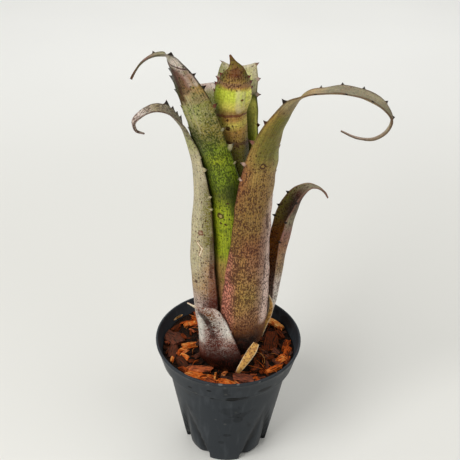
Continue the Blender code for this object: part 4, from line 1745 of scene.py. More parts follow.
LEAF_LEFT_TALL = (
    (-0.9, -9.75, 91, 6, 30, 330),
    (-2.2, -12.3, 96, 11, 55, 330),
    (-3.2, -13.2, 104, 15, 75, 330),
    (-3.5, -13.5, 120, 17, 80, 330),
    (-4, -13.5, 150, 16.5, 75, 330),
    (-4.6, -13.8, 185, 15, 62, 332),
    (-7, -14, 216, 13.5, 52, 338),
    (-10.7, -14, 235, 11.7, 47, 342),
    (-16.2, -14, 251, 11, 45, 345),
    (-22, -14, 270, 10.3, 42, 344),
    (-26.2, -14.2, 280, 8.9, 40, 341),
    (-29.9, -14.8, 288.5, 7.3, 36, 338),
    (-32.8, -15.8, 295.5, 5.3, 30, 333),
    (-35.1, -16.6, 299.8, 4.2, 28, 326),
    (-37.6, -17.2, 302, 3.4, 28, 314),
    (-41.2, -17.6, 302.4, 2.5, 30, 298),
    (-45.5, -18.2, 301.4, 2.1, 30, 284),
    (-50.5, -19, 298, 1.6, 30, 282),
    (-54, -20, 293.5, 1.1, 30, 282),
    (-56.5, -21, 289.2, 0.5, 30, 282),
)
LEAF_LEFT_ARCHED = (
    (-4, -4.9, 87, 6, 25, 285),
    (-13, -6.5, 89.5, 12, 45, 286),
    (-17.5, -7, 97, 16, 65, 288),
    (-20.5, -7, 110, 18.5, 78, 289),
    (-22.5, -7, 130, 19, 84, 290),
    (-24, -7.5, 158, 18, 85, 290),
    (-23.5, -7, 186, 16, 80, 290),
    (-22, -4.5, 215, 12.5, 45, 290),
    (-24, -4, 233, 10.4, 32, 290),
    (-27.6, -4, 246, 9.2, 26, 290),
    (-32.3, -4.5, 256, 8, 24, 288),
    (-38.5, -6, 263, 6.8, 26, 284),
    (-46.5, -8, 265, 5.6, 30, 282),
    (-53.5, -10, 262, 4.4, 34, 282),
    (-57.3, -11.3, 257.5, 3, 34, 282),
    (-56.2, -12, 253.5, 1.7, 30, 282),
    (-51.5, -12, 251.5, 0.5, 30, 282),
)
LEAF_RIGHT_SHORT = (
    (9.8, -0.55, 87, 6, 25, 110),
    (18, 3, 89.5, 10, 45, 112),
    (22.5, 5, 96, 11.5, 55, 112),
    (26, 6, 106, 12, 60, 112),
    (30, 6.3, 120, 12.5, 66, 111),
    (33, 6.5, 140, 13.5, 76, 109),
    (35.2, 6.4, 158, 14, 82, 106),
    (37.7, 6, 175, 14, 84, 104),
    (40.7, 6.5, 192, 12, 72, 104),
    (44.2, 7, 202.4, 7.6, 56, 104),
    (49.6, 8, 206.9, 3.9, 46, 104),
    (55.6, 9, 205.2, 2.5, 38, 104),
    (59.3, 10, 201.6, 1.3, 34, 104),
    (61.3, 10.5, 198, 0.5, 30, 104),
)
LEAF_HEART = (
    (3, -9, 97, 5, 35, 0),
    (3, -9.3, 103, 10, 75, 0),
    (3, -9.5, 112, 13.5, 100, 0),
    (3, -9.5, 140, 14, 105, 0),
    (3, -9.5, 185, 13.5, 95, 0),
    (1.9, -8, 220, 12, 85, 0),
    (0.7, -5.5, 245, 10.8, 72, 0),
    (-0.9, -4.5, 262, 11.3, 64, 0),
    (-0.3, -4.2, 275, 13, 60, 0),
    (0.3, -3.6, 283, 9.8, 56, 0),
    (0.4, -2.8, 289, 5.3, 50, 0),
    (-0.7, -2, 292.6, 2.2, 40, 0),
    (-1.7, -1.2, 294.8, 1.2, 34, 0),
    (-2.6, -0.6, 296.8, 0.5, 30, 0),
)
LEAF_BACK = (
    (3.6, 4.3, 94, 6, 30, 175),
    (4, 6.5, 99, 11, 60, 175),
    (4.2, 8, 107, 14, 78, 175),
    (4.5, 9, 130, 15.5, 82, 175),
    (5, 11, 170, 16, 76, 175),
    (4.4, 13, 215, 15.2, 66, 176),
    (2.8, 14.5, 250, 14.1, 50, 177),
    (2.2, 16.5, 265, 13, 38, 178),
    (2.4, 20.5, 275, 12.4, 32, 178),
    (2.8, 26, 278.5, 11, 28, 178),
    (2.8, 33, 275, 8.5, 28, 178),
    (2.8, 38, 266, 6, 28, 178),
    (2.8, 40, 255, 3.2, 28, 178),
    (2.7, 38, 245, 1.3, 28, 178),
    (2.6, 33.5, 239.5, 0.5, 28, 178),
)
LEAF_BACK_LEFT = (
    (-2.2, 2.8, 91, 6, 30, 222),
    (-5.2, 6, 96, 10.4, 50, 222),
    (-7.3, 8.1, 104, 13.8, 64, 222),
    (-8.5, 9, 120, 15.5, 68, 222),
    (-10.5, 11.5, 160, 15, 62, 222),
    (-12.5, 13.5, 205, 14.5, 55, 222),
    (-14.5, 15.5, 237, 13, 46, 218),
    (-16.5, 18, 254, 11, 38, 212),
    (-18.6, 22.5, 265, 9.4, 22, 196),
    (-20, 28.5, 265.5, 7.6, 24, 190),
    (-21.2, 34, 258, 5.2, 28, 190),
    (-22, 36.5, 247, 3, 30, 190),
    (-22, 35.5, 237, 1.3, 30, 190),
    (-21, 32, 231, 0.5, 30, 190),
)
LEAF_OUTER_STUB = (
    (0.45, -10, 84.8, 6, 15, 340),
    (-1.8, -18, 83, 10.5, 22, 342),
    (-3.6, -24.4, 82.6, 15, 32, 342),
    (-5.8, -28.6, 88.5, 17, 40, 341),
    (-8.4, -28, 100, 16, 45, 339),
    (-10.8, -25.8, 112, 13.4, 46, 337),
    (-13.2, -23.8, 121.5, 11.4, 44, 336),
    (-15.2, -22.8, 126.4, 9.6, 40, 335),
    (-17.4, -22, 128.6, 6.2, 36, 334),
    (-20, -21.2, 130.8, 2.8, 32, 332),
    (-23.2, -20.5, 132.8, 1.3, 30, 330),
    (-27, -20, 135, 0.5, 30, 330),
)
SHEATH_SCRAP = (
    (6.6, -35.5, 89.6, 1.5, 20, 362),
    (7.9, -35, 92.2, 1.9, 24, 358),
    (10.2, -33.6, 95.6, 2.4, 28, 354),
    (13.2, -31.4, 100, 2.9, 32, 348),
    (16.2, -28.4, 104, 3, 32, 342),
    (18.4, -25.4, 106.8, 2.2, 28, 340),
)
FIBRE_STRIP = (
    (22.3, -8.9, 99, 0.8, 20, 340),
    (23.2, -9, 104, 1.1, 30, 345),
    (25, -9, 111, 1.5, 30, 350),
    (27.2, -8.6, 118, 1.6, 30, 352),
    (28, -8.4, 125, 1.4, 30, 350),
    (27, -8.4, 131, 0.9, 30, 345),
    (26, -8.3, 134, 0.4, 30, 340),
)

TEETH_RIGHT_LONG = (
    (-1, 146, 1.4, 0.3),
    (-1, 157, 3.2, -0.1),
    (-1, 172, 3.4, 0.1),
    (-1, 186, 2.4, 0.3),
    (-1, 203, 3.4, 0.3),
    (-1, 220, 1.2, 0.2),
    (-1, 236, 1.2, 0.2),
    (-1, 250, 1.2, 0.2),
    (1, 132, 1.5, 0.3),
    (1, 150, 2, 0.3),
    (1, 168, 2.2, 0.3),
    (1, 186, 2.2, 0.3),
    (1, 220, 1.8, -0.3),
    (1, 232, 1.8, -0.3),
    (1, 243, 1.8, -0.3),
    (1, 256, 2, 0),
    (1, 264, 2.2, 0),
)
TEETH_LEFT_TALL = (
    (-1, 134, 1.4, 0.3),
    (-1, 150, 2, 0.3),
    (-1, 167, 2.2, 0.3),
    (-1, 182, 2.2, 0.3),
    (-1, 192.7, 3.6, 0),
    (-1, 200.2, 5, 0.1),
    (-1, 205.8, 4, -0.1),
    (-1, 224.5, 1.8, 0),
    (1, 132, 1.4, 0.3),
    (1, 142, 1.8, 0.2),
    (1, 151, 4.4, 0.1),
    (1, 164, 2.8, 0),
    (1, 179, 3, 0.2),
    (1, 191.5, 2.8, 0),
    (1, 201, 2, 0),
    (1, 217, 2.6, 0.5),
)
TEETH_LEFT_ARCHED = (
    (-1, 112, 1.4, 0.3),
    (-1, 130, 1.8, 0.3),
    (-1, 148, 2, 0.3),
    (-1, 164, 1.6, 0.2),
    (-1, 176, 5, 0.1),
    (-1, 180.5, 3, 0),
    (-1, 184.2, 3.4, 0),
    (-1, 188.7, 4.4, 0),
    (1, 124, 1.2, 0.2),
    (1, 132, 1.6, 0.2),
    (1, 150, 3.2, 0.1),
    (1, 157.5, 1.2, 0.2),
    (1, 169, 1.2, 0.2),
)
TEETH_RIGHT_SHORT = (
    (-1, 96, 1.4, 0.2),
    (-1, 110, 1.6, 0.2),
    (-1, 123, 1.4, 0.2),
    (1, 92, 1.4, 0.2),
    (1, 104, 2, 0.2),
    (1, 112, 1.8, 0.1),
    (1, 122, 1.8, 0),
)
TEETH_HEART = (
    (-1, 176.5, 2, 0.2),
    (-1, 180.5, 3.2, 0.1),
    (-1, 184, 3, 0.1),
    (-1, 187.5, 2.6, 0.1),
    (1, 176.5, 2, 0.2),
    (1, 180.5, 3, 0.1),
    (1, 184, 3.2, 0.1),
    (1, 187.5, 2.6, 0.1),
)
TEETH_BACK = (
    (1, 140, 1.6, 0.3),
    (1, 155, 2, 0.3),
    (1, 170, 2.2, 0.3),
    (1, 181, 1.4, 0.2),
    (1, 191, 2.2, 0.2),
    (-1, 155, 2.6, 0.2),
    (-1, 173, 3.4, 0),
    (-1, 181, 2.2, 0.1),
    (-1, 189, 2, 0.2),
)
TEETH_BACK_LEFT = (
    (-1, 140, 1.8, 0.3),
    (-1, 157, 2, 0.3),
    (-1, 172, 1.8, 0.2),
    (-1, 186, 1.4, 0),
    (1, 140, 1.8, 0.3),
    (1, 157, 2, 0.3),
    (1, 172, 1.8, 0.2),
    (1, 186, 1.4, 0),
)
TEETH_OUTER_STUB = (
    (-1, 50, 1.6, 0.4),
    (1, 48, 1.2, 0.4),
)

def stops(text: str) -> Colours:
    """Places in mm and tints of a colour line, written as pairs of words."""
    words = text.split()
    return tuple((float(mm), Tint[name]) for mm, name in zip(words[::2], words[1::2]))


def even_face(side: str, middle: str = "") -> tuple[Colours, Colours, Colours]:
    """Lines of a face that is the same left and right, and in the middle unless given."""
    return stops(side), stops(middle or side), stops(side)


SKIN_RIGHT_LONG = LeafSkin(
    outer=(
        stops("0 PLUM 14 MAUVE 26 WINE 34 CHESTNUT 44 DUSK 60 DUSK 72 CHESTNUT 84 DUSK"
              " 98 TAWNY 122 TAWNY 142 CHESTNUT 152 CHESTNUT 162 OCHRE 176 KHAKI 192 OCHRE"
              " 200 LICHEN 214 TAN 300 SLATE"),
        stops("0 PLUM 20 COAL 28 COAL 36 UMBER 45 DUSK 62 OCHRE 84 DUSK 100 CHESTNUT 112 TAWNY"
              " 138 TAWNY 152 OCHRE 164 MOSS 192 MOSS 200 LICHEN 222 TAN 262 SLATE 300 LILAC"),
        stops("0 PLUM 26 UMBER 38 CHESTNUT 46 MAUVE 58 LILAC 72 MAUVE 84 LILAC 118 LILAC"
              " 134 TAN 150 TAN 162 PEWTER 176 KHAKI 186 PEWTER 196 MOSS 206 LICHEN 214 TAN"
              " 300 SLATE"),
    ),
    inner=even_face("0 WINE 150 OLIVE 208 KHAKI 216 TAN 226 SLATE 262 SLATE 276 LILAC 300 SLATE"),
    freckles=((0, 0.4), (30, 0.5), (48, 0.78), (90, 0.8), (118, 0.66), (150, 0.52), (166, 0.3),
              (180, 0.1), (300, 0.1)),
    freckle_side=-0.22,
    scurf=((0, 0.05), (30, 0.1), (120, 0.15), (165, 0.15), (200, 0.1), (230, 0.4)),
    scurf_side=0.12,
    scurf_tint=Tint.LILAC,
    veining=0.46,
    margin=((0, 0.1), (90, 0.15), (140, 0.5), (300, 0.6)),
    thorns=stops("0 LILAC 150 LILAC 162 MAUVE 176 WINE 190 INK 300 INK"),
    spots=(
        Spot(-0.5, 157.5, 1, Tint.OCHRE, Tint.MAROON),
        Spot(1.6, 129, 0.9, Tint.MAROON),
    ),
    strokes=(
        Stroke((-16, 34), (-14.6, 68), 7.5, Tint.ROSE, 0.88, True),
        Stroke((-16, 68), (-15, 92), 4.5, Tint.ROSE, 0.6, True),
        Stroke((13.4, 42), (12, 72), 6.4, Tint.BLUSH, 0.95, True),
        Stroke((12.8, 72), (12.2, 132), 4.2, Tint.BLUSH, 0.65, True),
        Stroke((6.6, 50), (6.8, 118), 4, Tint.MAUVE, 0.5, True),
        Stroke((-6.6, 50), (-6.2, 90), 4, Tint.AMBER, 0.4, True),
        Stroke((9.6, 58), (10.4, 112), 0.8, Tint.PLUM, 0.4),
        Stroke((8, 121), (8.8, 112), 1.5, Tint.PLUM, 0.6),
    ),
    rough=0.48,
)
SKIN_LEFT_TALL = LeafSkin(
    outer=(
        stops("0 WINE 50 HEATHER 84 HEATHER 94 MOSS 104 OLIVE 110 FERN 116 FOREST 163 FOREST"
              " 169 PEWTER 184 PEWTER 191 KHAKI 197 BISTRE 208 PLUM 211 SLATE 216 SILVER"
              " 222 SLATE"),
        stops("0 ROSE 50 DUSK 70 OCHRE 80 LIME 114 LIME 122 OLIVE 132 LEAF 139 LEAF 146 LIME"
              " 153 LEAF 160 OLIVE 167 KHAKI 178 PEWTER 185 PEWTER 191 TAN 197 DUSK"
              " 206 HEATHER 210 SILVER 216 SILVER 222 SLATE 243 SLATE"),
        stops("0 ROSE 60 LEAF 112 LEAF 120 FOREST 131 FERN 141 LEAF 150 LEAF 160 KHAKI"
              " 172 KHAKI 182 MOSS 191 OCHRE 198 OCHRE 203 LILAC 210 SILVER 217 SILVER"
              " 222 SLATE"),
    ),
    inner=even_face(
        "0 WINE 70 LEAF 150 LEAF 200 PEWTER 214 MOSS 222 SLATE 230 HEATHER 243 UMBER",
        "0 WINE 70 LIME 150 LEAF 200 PEWTER 216 SLATE 222 SLATE 230 HEATHER 243 UMBER",
    ),
    freckles=((0, 0.3), (70, 0.3), (112, 0.45), (124, 0.75), (160, 0.75), (172, 0.5), (200, 0.4),
              (216, 0.1)),
    freckle_tint=Tint.FOREST,
    scurf=((0, 0.05), (120, 0.05), (148, 0.1), (162, 0.45), (172, 0.8), (196, 0.4), (212, 0.3)),
    scurf_tint=Tint.FAWN,
    mottle=0.6,
    mottle_tint=Tint.FERN,
    veining=0.5,
    # The margins are darkest from 190 to 208 mm, partly their own dark rim and partly painted shade
    # of the left edge near the tip
    margin=((0, 0.1), (120, 0.3), (180, 0.5), (190, 0.85), (208, 0.85), (214, 0.5), (243, 0.6)),
    margin_tint=Tint.COAL,
    thorns=stops("0 FAWN 150 FAWN 172 SLATE 180 WINE 190 INK 243 INK"),
    bands=(
        Band(186, 2.5, Tint.HEATHER, 0.35),
        Band(201, 5.5, Tint.HEATHER, 0.3),
    ),
    spots=(
        Spot(-1.2, 107.5, 1.1, Tint.TAN, Tint.MAROON),
        Spot(-1.2, 102.5, 0.9, Tint.MAROON),
        Spot(2.1, 102, 0.9, Tint.MAROON),
        Spot(4.2, 117.5, 0.9, Tint.MAROON),
    ),
    strokes=(
        Stroke((-4, 212), (-6.4, 204), 3, Tint.UMBER, 0.7, True),
        # Dark left edge near the tip, with the FOREST stroke along it below and the left line's
        # BISTRE and PLUM from 197 to 208 mm: partly the brown patch's own colour, partly painted
        # shade where the edge turns away
        Stroke((-5.6, 207), (-7.6, 189), 5.4, Tint.BISTRE, 0.85),
        Stroke((2.4, 207), (3.4, 196), 2, Tint.SILVER, 0.55, True),
        # Dark line across the fold: the folded margin's edge, with painted shadow under it
        Stroke((-4.4, 213.2), (5.6, 206), 0.6, Tint.MAROON, 0.85),
        Stroke((4.2, 168), (3.2, 190), 2.8, Tint.MOSS, 0.6, True),
        Stroke((-2, 205), (-1.6, 194), 4, Tint.PLUM, 0.5),
        Stroke((-5.4, 208.5), (-7.4, 192), 2.6, Tint.FOREST, 0.6),
        Stroke((1.8, 204), (2.6, 194), 0.8, Tint.WINE, 0.4),
        Stroke((-6.5, 170), (-6, 186), 1.2, Tint.FAWN, 0.4),
        Stroke((-1.5, 166), (-2, 190), 0.8, Tint.FAWN, 0.4),
        # Dark green down both sides: painted shadow cast by the left arched leaf on the left side,
        # and beside the right long leaf's margin on the right; the left line's FOREST from 116 to
        # 163 mm darkens the same left side
        Stroke((-9.6, 116), (-7.4, 166), 7.6, Tint.FOREST, 0.9, True),
        Stroke((8.4, 113), (7.2, 127), 5.6, Tint.FOREST, 0.8, True),
        Stroke((9.4, 210), (6.4, 196), 2, Tint.SILVER, 0.7, True),
    ),
    rough=0.36,
)
SKIN_LEFT_ARCHED = LeafSkin(
    outer=(
        stops("0 WINE 30 MAUVE 60 TAN 96 TAN 104 LICHEN 116 TAN 130 FAWN 160 FAWN 172 SLATE"
              " 190 SLATE 206 LILAC"),
        stops("0 PLUM 28 LILAC 40 SILVER 52 LILAC 64 TAN 80 FAWN 156 FAWN 166 PEWTER 174 SLATE"
              " 190 SLATE 206 LILAC 221 SLATE"),
        stops("0 PLUM 30 PLUM 46 WINE 54 WINE 62 CHESTNUT 78 DUSK 94 LICHEN 110 MOSS 124 MOSS"
              " 136 SLATE 146 FAWN 158 FAWN 166 PEWTER 180 SLATE 206 LILAC"),
    ),
    inner=even_face("0 WINE 60 OLIVE 140 PEWTER 176 SLATE 188 SLATE 196 LICHEN 204 SILVER"
                    " 214 LILAC 221 HEATHER"),
    freckles=((0, 0.4), (50, 0.5), (90, 0.35), (150, 0.25), (170, 0.55), (195, 0.75), (221, 0.7)),
    freckle_tint=Tint.PLUM,
    scurf=((0, 0.2), (40, 0.45), (150, 0.5), (170, 0.35), (221, 0.5)),
    mottle_tint=Tint.SLATE,
    veining=0.44,
    margin=((0, 0.5), (115, 0.8), (135, 0.3), (221, 0.5)),
    margin_tint=Tint.PLUM,
    thorns=stops("0 FAWN 150 FAWN 166 SLATE 176 INK 221 INK"),
    spots=(
        Spot(8.1, 106.5, 0.9, Tint.MAUVE, Tint.WINE),
        Spot(4.8, 68, 1.5, Tint.MAROON),
    ),
    strokes=(
        Stroke((12.6, 22), (15, 52), 6.4, Tint.WINE, 0.85, True),
        Stroke((13.6, 100), (13, 138), 5, Tint.MOSS, 0.85, True),
        # Dark line along the right margin: painted shadow beside the right long leaf's margin
        Stroke((15.6, 44), (17, 82), 3.2, Tint.WINE, 0.45),
        Stroke((15.6, 74), (15.2, 104), 1.3, Tint.PLUM, 0.6),
        Stroke((6.4, 99), (9.6, 95.5), 1.1, Tint.CHESTNUT, 0.7),
        Stroke((9.6, 95.5), (8, 90), 1.1, Tint.CHESTNUT, 0.7),
        Stroke((6.4, 99), (9.6, 95.5), 0.5, Tint.CREAM),
        Stroke((9.6, 95.5), (8, 90), 0.5, Tint.CREAM),
    ),
    rough=0.55,
)
SKIN_RIGHT_SHORT = LeafSkin(
    outer=even_face("0 PLUM 36 CHESTNUT 44 SILVER 50 PAPER 62 SILVER 74 TAN 92 DUSK 102 HEATHER"
                    " 110 SLATE 124 BISTRE 136 SLATE 148 UMBER"),
    inner=(
        stops("0 PLUM 40 MAUVE 56 LILAC 62 CHESTNUT 96 BRONZE 108 BISTRE 120 COAL 132 SLATE"
              " 148 SLATE"),
        stops("0 PLUM 36 SILVER 56 LILAC 64 DUSK 74 BRONZE 96 BRONZE 104 BISTRE 118 COAL"
              " 126 BISTRE 134 SLATE 148 SLATE"),
        stops("0 PLUM 40 MAUVE 56 BRONZE 92 BRONZE 104 KHAKI 120 MOSS 134 SLATE 148 SLATE"),
    ),
    freckles=((0, 0.4), (60, 0.6), (120, 0.5), (148, 0.2)),
    scurf=((0, 0.2), (45, 0.5), (100, 0.25), (148, 0.3)),
    scurf_tint=Tint.LILAC,
    mottle_tint=Tint.BISTRE,
    margin_tint=Tint.HEATHER,
    margin=((0, 0.2), (110, 0.4), (148, 0.6)),
    thorns=stops("0 MAUVE 90 INK 148 INK"),
    rough=0.45,
)
SKIN_HEART = LeafSkin(
    outer=(
        stops("0 WINE 60 LEAF 132 PEWTER 144 PEWTER 148 KHAKI 152 PEWTER 156 OCHRE 161 LIME"
              " 165 OLIVE 169 LEAF 174 LIME 179 LIME 181.5 MOSS 185 OLIVE 190 OLIVE 194 MOSS"
              " 201 BISTRE"),
        stops("0 WINE 60 LIME 132 OLIVE 142 MOSS 148 OCHRE 154 AMBER 158 BUTTER 161 AMBER"
              " 166 OCHRE 169 BUTTER 174 FRESH 179 FRESH 181.5 AMBER 185 OCHRE 189 UMBER"
              " 193 KHAKI 201 BISTRE"),
        # The right line's GLOW from 174 to 179 mm is a painted highlight on the heart leaf's right
        # side
        stops("0 WINE 60 LEAF 130 FOREST 146 FOREST 150 KHAKI 155 OCHRE 159 BUTTER 164 OCHRE"
              " 169 BUTTER 174 GLOW 179 GLOW 182 AMBER 185 KHAKI 189 OLIVE 194 OLIVE"
              " 201 BISTRE"),
    ),
    inner=even_face("0 WINE 60 LEAF 201 LEAF", "0 WINE 60 LIME 201 LEAF"),
    freckles=((0, 0.3), (150, 0.4), (160, 0.3), (167, 0.0), (178, 0.0), (182, 0.6), (188, 0.65),
              (194, 0.4)),
    freckle_side=-0.1,
    scurf=((0, 0.1), (150, 0.35), (164, 0.3), (168, 0), (180, 0), (182, 0.4), (188, 0.3),
           (201, 0.1)),
    scurf_tint=Tint.MAUVE,
    mottle=0.2,
    mottle_tint=Tint.OLIVE,
    veining=0.3,
    margin=((0, 0.2), (168, 0.3), (180, 0.8), (201, 0.9)),
    margin_tint=Tint.UMBER,
    thorns=stops("0 UMBER 180 WINE 201 WINE"),
    bands=(
        Band(146, 1.6, Tint.MAROON, 0.7),
        Band(164, 1, Tint.WINE, 0.8),
        Band(183, 1.6, Tint.HEATHER, 0.5),
        Band(191.5, 1.6, Tint.WINE, 0.45),
    ),
    spots=(
        Spot(-2.7, 161.5, 0.9, Tint.MAROON),
        Spot(-2.7, 156.5, 1.7, Tint.MAROON),
        Spot(5.3, 174, 0.9, Tint.UMBER),
    ),
    strokes=(
        Stroke((4, 167), (2.8, 179), 2.4, Tint.CREAM, 0.4, True),
        Stroke((7, 168), (6, 178), 1.8, Tint.CREAM, 0.35, True),
        Stroke((0, 190), (0, 194), 3, Tint.WINE, 0.5, True),
    ),
    rough=0.3,
)
SKIN_BACK = LeafSkin(
    outer=even_face(
        "0 WINE 60 HEATHER 150 PEWTER 236 LILAC", "0 WINE 60 MAUVE 110 FAWN 190 SILVER 236 LILAC"
    ),
    inner=(
        # The left line's GLOW from 146 to 168 mm is painted light along that edge; the middle
        # line's FOREST from 140 to 171 mm is painted shadow cast by the heart leaf
        stops("0 WINE 70 OLIVE 126 OLIVE 138 MOSS 142 LIME 146 FRESH 156 GLOW 168 GLOW"
              " 172 FOREST 175 FAWN 188 FAWN 204 SILVER 236 LILAC"),
        stops("0 WINE 70 LEAF 140 FOREST 171 FOREST 175 PEWTER 181 FRESH 188 FAWN 204 SILVER"
              " 236 LILAC"),
        stops("0 WINE 70 LEAF 172 LEAF 180 PEWTER 192 FAWN 204 FAWN 236 LILAC"),
    ),
    freckles=((0, 0.3), (120, 0.1), (172, 0.05), (180, 0.3), (236, 0.3)),
    scurf=((0, 0.1), (90, 0.1), (172, 0.05), (180, 0.35), (236, 0.6)),
    mottle_tint=Tint.FERN,
    margin=((0, 0.5), (140, 0.85), (174, 0.85), (178, 0.4), (236, 0.6)),
    margin_tint=Tint.FOREST,
    thorns=stops("0 MAUVE 140 PLUM 165 PLUM 172 LILAC 178 LILAC 190 UMBER 236 UMBER"),
    rough=0.34,
)
SKIN_BACK_LEFT = LeafSkin(
    outer=even_face(
        "0 WINE 60 HEATHER 150 PEWTER 221 LILAC", "0 WINE 60 MAUVE 110 TAN 180 FAWN 221 LILAC"
    ),
    inner=(
        stops("0 WINE 70 LEAF 160 LEAF 174 PEWTER 179 SILVER 221 LILAC"),
        stops("0 WINE 70 LIME 160 LEAF 174 PEWTER 179 LILAC 221 LILAC"),
        stops("0 WINE 70 LEAF 160 LEAF 174 PEWTER 179 LILAC 221 LILAC"),
    ),
    freckles=((0, 0.3), (120, 0.3), (221, 0.3)),
    scurf=((0, 0.2), (90, 0.3), (221, 0.6)),
    thorns=stops("0 MAUVE 170 LILAC 221 LILAC"),
    rough=0.46,
)
SKIN_OUTER_STUB = LeafSkin(
    outer=(
        stops("0 COAL 24 COAL 30 PLUM 34 WINE 38 HEATHER 44 MAUVE 50 SILVER 56 PAPER 70 PAPER"
              " 73 CREAM"),
        stops("0 COAL 28 COAL 33 PLUM 42 WINE 50 WINE 56 BISTRE 62 UMBER 67 WINE 70 HEATHER"
              " 73 CREAM"),
        stops("0 COAL 26 COAL 32 PLUM 39 WINE 43 LILAC 48 PAPER 56 SILVER 61 LILAC 65 HEATHER"
              " 70 HEATHER 73 CREAM"),
    ),
    inner=even_face("0 PLUM 72 WINE"),
    freckles=((0, 0.2), (34, 0.6), (46, 0.4), (66, 0.2), (76, 0.1)),
    scurf=((0, 0.0), (30, 0.0), (38, 0.4), (50, 1), (66, 0.8), (76, 0.3)),
    scurf_tint=Tint.PAPER,
    mottle=0.3,
    mottle_tint=Tint.PLUM,
    margin=((0, 0.3), (40, 0.6), (60, 0.5), (68, 0.1)),
    thorns=stops("0 LILAC 60 LILAC 76 CREAM"),
    strokes=(
        Stroke((-10.4, 46), (-6, 68), 6.4, Tint.PAPER, 0.95, True),
        Stroke((-1, 33), (1.5, 46), 4.4, Tint.MAROON, 0.45),
        Stroke((2, 68), (4.6, 62), 2.4, Tint.UMBER, 0.6, True),
        # Dark crease down the middle: painted shadow in the fold
        Stroke((-2, 66), (0.2, 58), 2.6, Tint.COAL, 0.75),
        Stroke((0.2, 58), (1.4, 48), 2.2, Tint.PLUM, 0.75),
    ),
    rough=0.38,
)


def leaves() -> list[LeafBlade]:
    """The eight leaves and the two dry pieces at their feet.

    Returns:
        The blades, ready to build.
    """
    mauve, olive, green = "leaf_mauve", "leaf_olive", "leaf_green"
    rows = (
        ("blade_outer_stub", "leaf_outer_stub", mauve,
         LEAF_OUTER_STUB, TEETH_OUTER_STUB, SKIN_OUTER_STUB),
        ("blade_right_long", "leaf_right_long", mauve,
         LEAF_RIGHT_LONG, TEETH_RIGHT_LONG, SKIN_RIGHT_LONG),
        ("blade_left_arched", "leaf_left_arched", mauve,
         LEAF_LEFT_ARCHED, TEETH_LEFT_ARCHED, SKIN_LEFT_ARCHED),
        ("blade_right_short", "leaf_right_short", olive,
         LEAF_RIGHT_SHORT, TEETH_RIGHT_SHORT, SKIN_RIGHT_SHORT),
        ("blade_left_tall", "leaf_left_tall", green,
         LEAF_LEFT_TALL, TEETH_LEFT_TALL, SKIN_LEFT_TALL),
        ("blade_back_left", "leaf_back_left", green,
         LEAF_BACK_LEFT, TEETH_BACK_LEFT, SKIN_BACK_LEFT),
        ("blade_back", "leaf_back", green, LEAF_BACK, TEETH_BACK, SKIN_BACK),
        ("blade_heart", "leaf_heart", green, LEAF_HEART, TEETH_HEART, SKIN_HEART),
    )
    thin = {"middle": 0.9, "row_step": 0.6}
    return [LeafBlade(*row, seed) for seed, row in enumerate(rows, 1)] + [
        LeafBlade("dry_scrap", "sheath_scrap", "dry_sheath", SHEATH_SCRAP, (), DryFinish(), 9,
                  columns=15, **thin),
        LeafBlade("dry_strip", "fibre_strip", "dry_sheath", FIBRE_STRIP, (), DryFinish(), 10,
                  columns=11, **thin),
    ]


@dataclass
class Stem:
    """Short stem that carries the leaf bases, shown by its own solid."""

    node: str = "stem"

    def dress(self) -> Piece:
        """Gives the solid its fibrous finish.

        Returns:
            The solid.
        """
        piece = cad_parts[self.node]
        piece.data.materials.clear()
        piece.data.materials.append(StemFinish().make())
        return piece


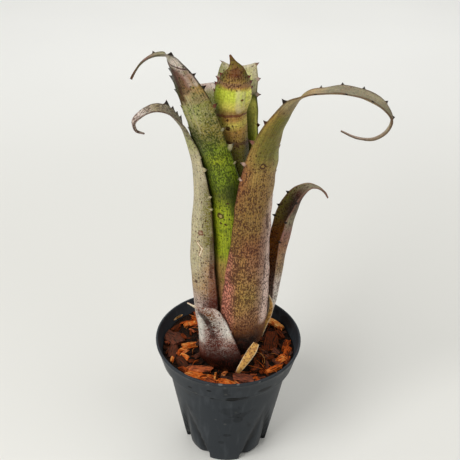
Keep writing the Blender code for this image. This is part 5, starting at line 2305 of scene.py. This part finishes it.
@dataclass
class Studio:
    """Pale floor, soft lamps and the camera, in metres; a lamp has a place, size and power."""

    floor_radius: float = 4.0
    floor_steps: int = 96
    # Near and far floor colours of the painted light that brightens the floor towards the back
    floor_near: Grey = (222, 221, 215)
    floor_far: Grey = (252, 252, 248)
    floor_cloud: Grey = (214, 213, 208)
    air: Triple = (0.93, 0.93, 0.92)
    air_strength: float = 0.42
    aim: Triple = (0.0, 0.0, 0.12)
    lamps: tuple[tuple[Triple, float, float], ...] = (
        ((-0.8, -0.8, 1.3), 0.9, 20.0),
        ((1.0, -0.5, 1.1), 1.2, 4.5),
        ((0.1, 1.2, 1.6), 1.4, 10.0),
    )
    camera_place: Triple = (-0.01297, -0.46199, 0.47484)
    camera_right: Triple = (0.99976, 0.01261, 0.01811)
    camera_up: Triple = (-0.0221, 0.5394, 0.8418)
    lens: float = 67.145
    sensor: float = 36.0
    nearest: float = 0.01
    farthest: float = 50.0

    def build(self) -> list[Piece]:
        """Sets up the floor, the light and the camera.

        Returns:
            The floor and the camera.
        """
        view = bpy.context.scene.view_settings
        view.view_transform = "Standard"
        view.look = "None"
        self.light_world()
        for place, size, power in self.lamps:
            self.add_lamp(place, size, power)
        return [self.add_floor(), self.add_camera()]

    def light_world(self) -> None:
        """Pale even surroundings."""
        world = bpy.data.worlds.new("studio_air")
        bpy.context.scene.world = world
        world.use_nodes = True
        air = world.node_tree.nodes["Background"]
        air.inputs["Color"].default_value = (*self.air, 1.0)
        air.inputs["Strength"].default_value = self.air_strength

    def add_lamp(self, place: Triple, size: float, power: float) -> None:
        """One large soft lamp aimed at the plant.

        Args:
            place: where it hangs.
            size: length of its side.
            power: its strength in watts.
        """
        data = bpy.data.lights.new("soft_lamp", "AREA")
        data.shape = "SQUARE"
        data.size = size
        data.energy = power
        lamp = bpy.data.objects.new("soft_lamp", data)
        lamp.location = place
        way = Vector(self.aim) - Vector(place)
        lamp.rotation_euler = way.to_track_quat("-Z", "Y").to_euler()
        bpy.context.scene.collection.objects.link(lamp)

    def floor_finish(self) -> Finish:
        """Pale matt surface, with painted light that brightens it towards the back.

        Returns:
            The material.
        """
        bench = Bench("pale_floor")
        place = bench.place()
        broad = bench.cloud(place, 3.0, 2.0)
        _, depth, _ = bench.parts(place)
        # Painted light: the floor is painted lighter towards the back
        back = bench.step(depth, 0.15, 0.9)
        colour = bench.blend(back, linear(self.floor_near), linear(self.floor_far))
        return bench.dress(
            Base_Color=bench.blend(broad * 0.3, colour, linear(self.floor_cloud)),
            Roughness=0.6 + 0.1 * broad,
            Specular_IOR_Level=0.2,
        )

    def add_floor(self) -> Piece:
        """Wide round floor.

        Returns:
            The floor.
        """
        turns = [2 * math.pi * k / self.floor_steps for k in range(self.floor_steps)]
        r = self.floor_radius
        rim = [(r * math.cos(turn), r * math.sin(turn), 0.0) for turn in turns]
        mesh = bpy.data.meshes.new("floor")
        mesh.from_pydata(rim, [], [tuple(range(self.floor_steps))])
        mesh.materials.append(self.floor_finish())
        floor = bpy.data.objects.new("floor", mesh)
        bpy.context.scene.collection.objects.link(floor)
        return floor

    def add_camera(self) -> Piece:
        """Camera at the photograph's place and angle.

        Returns:
            The camera.
        """
        data = bpy.data.cameras.new("camera")
        data.sensor_width = self.sensor
        data.lens = self.lens
        data.clip_start = self.nearest
        data.clip_end = self.farthest
        data.dof.use_dof = False
        camera = bpy.data.objects.new("camera", data)
        right = Vector(self.camera_right).normalized()
        up = Vector(self.camera_up).normalized()
        turned = Matrix((right, up, right.cross(up))).transposed().to_4x4()
        camera.matrix_world = Matrix.Translation(Vector(self.camera_place)) @ turned
        bpy.context.scene.collection.objects.link(camera)
        bpy.context.scene.camera = camera
        return camera


def main() -> None:
    """Builds the studio, the pot, the mix, the stem and the leaves."""
    logging.basicConfig(level=logging.INFO, format="%(message)s")
    for piece in Studio().build():
        log.info("studio: %s", piece.name)
    pot = NurseryPot()
    log.info("pot: %s", pot.build(PlasticFinish().make()).name)
    for piece in PottingMix(pot).build(HumusFinish().make(), BarkFinish().make()):
        log.info("mix: %s", piece.name)
    log.info("stem: %s", Stem().dress().name)
    for leaf in leaves():
        log.info("leaf: %s, %.0f mm long", leaf.build().name, leaf.length)


if __name__ == "__main__":
    main()
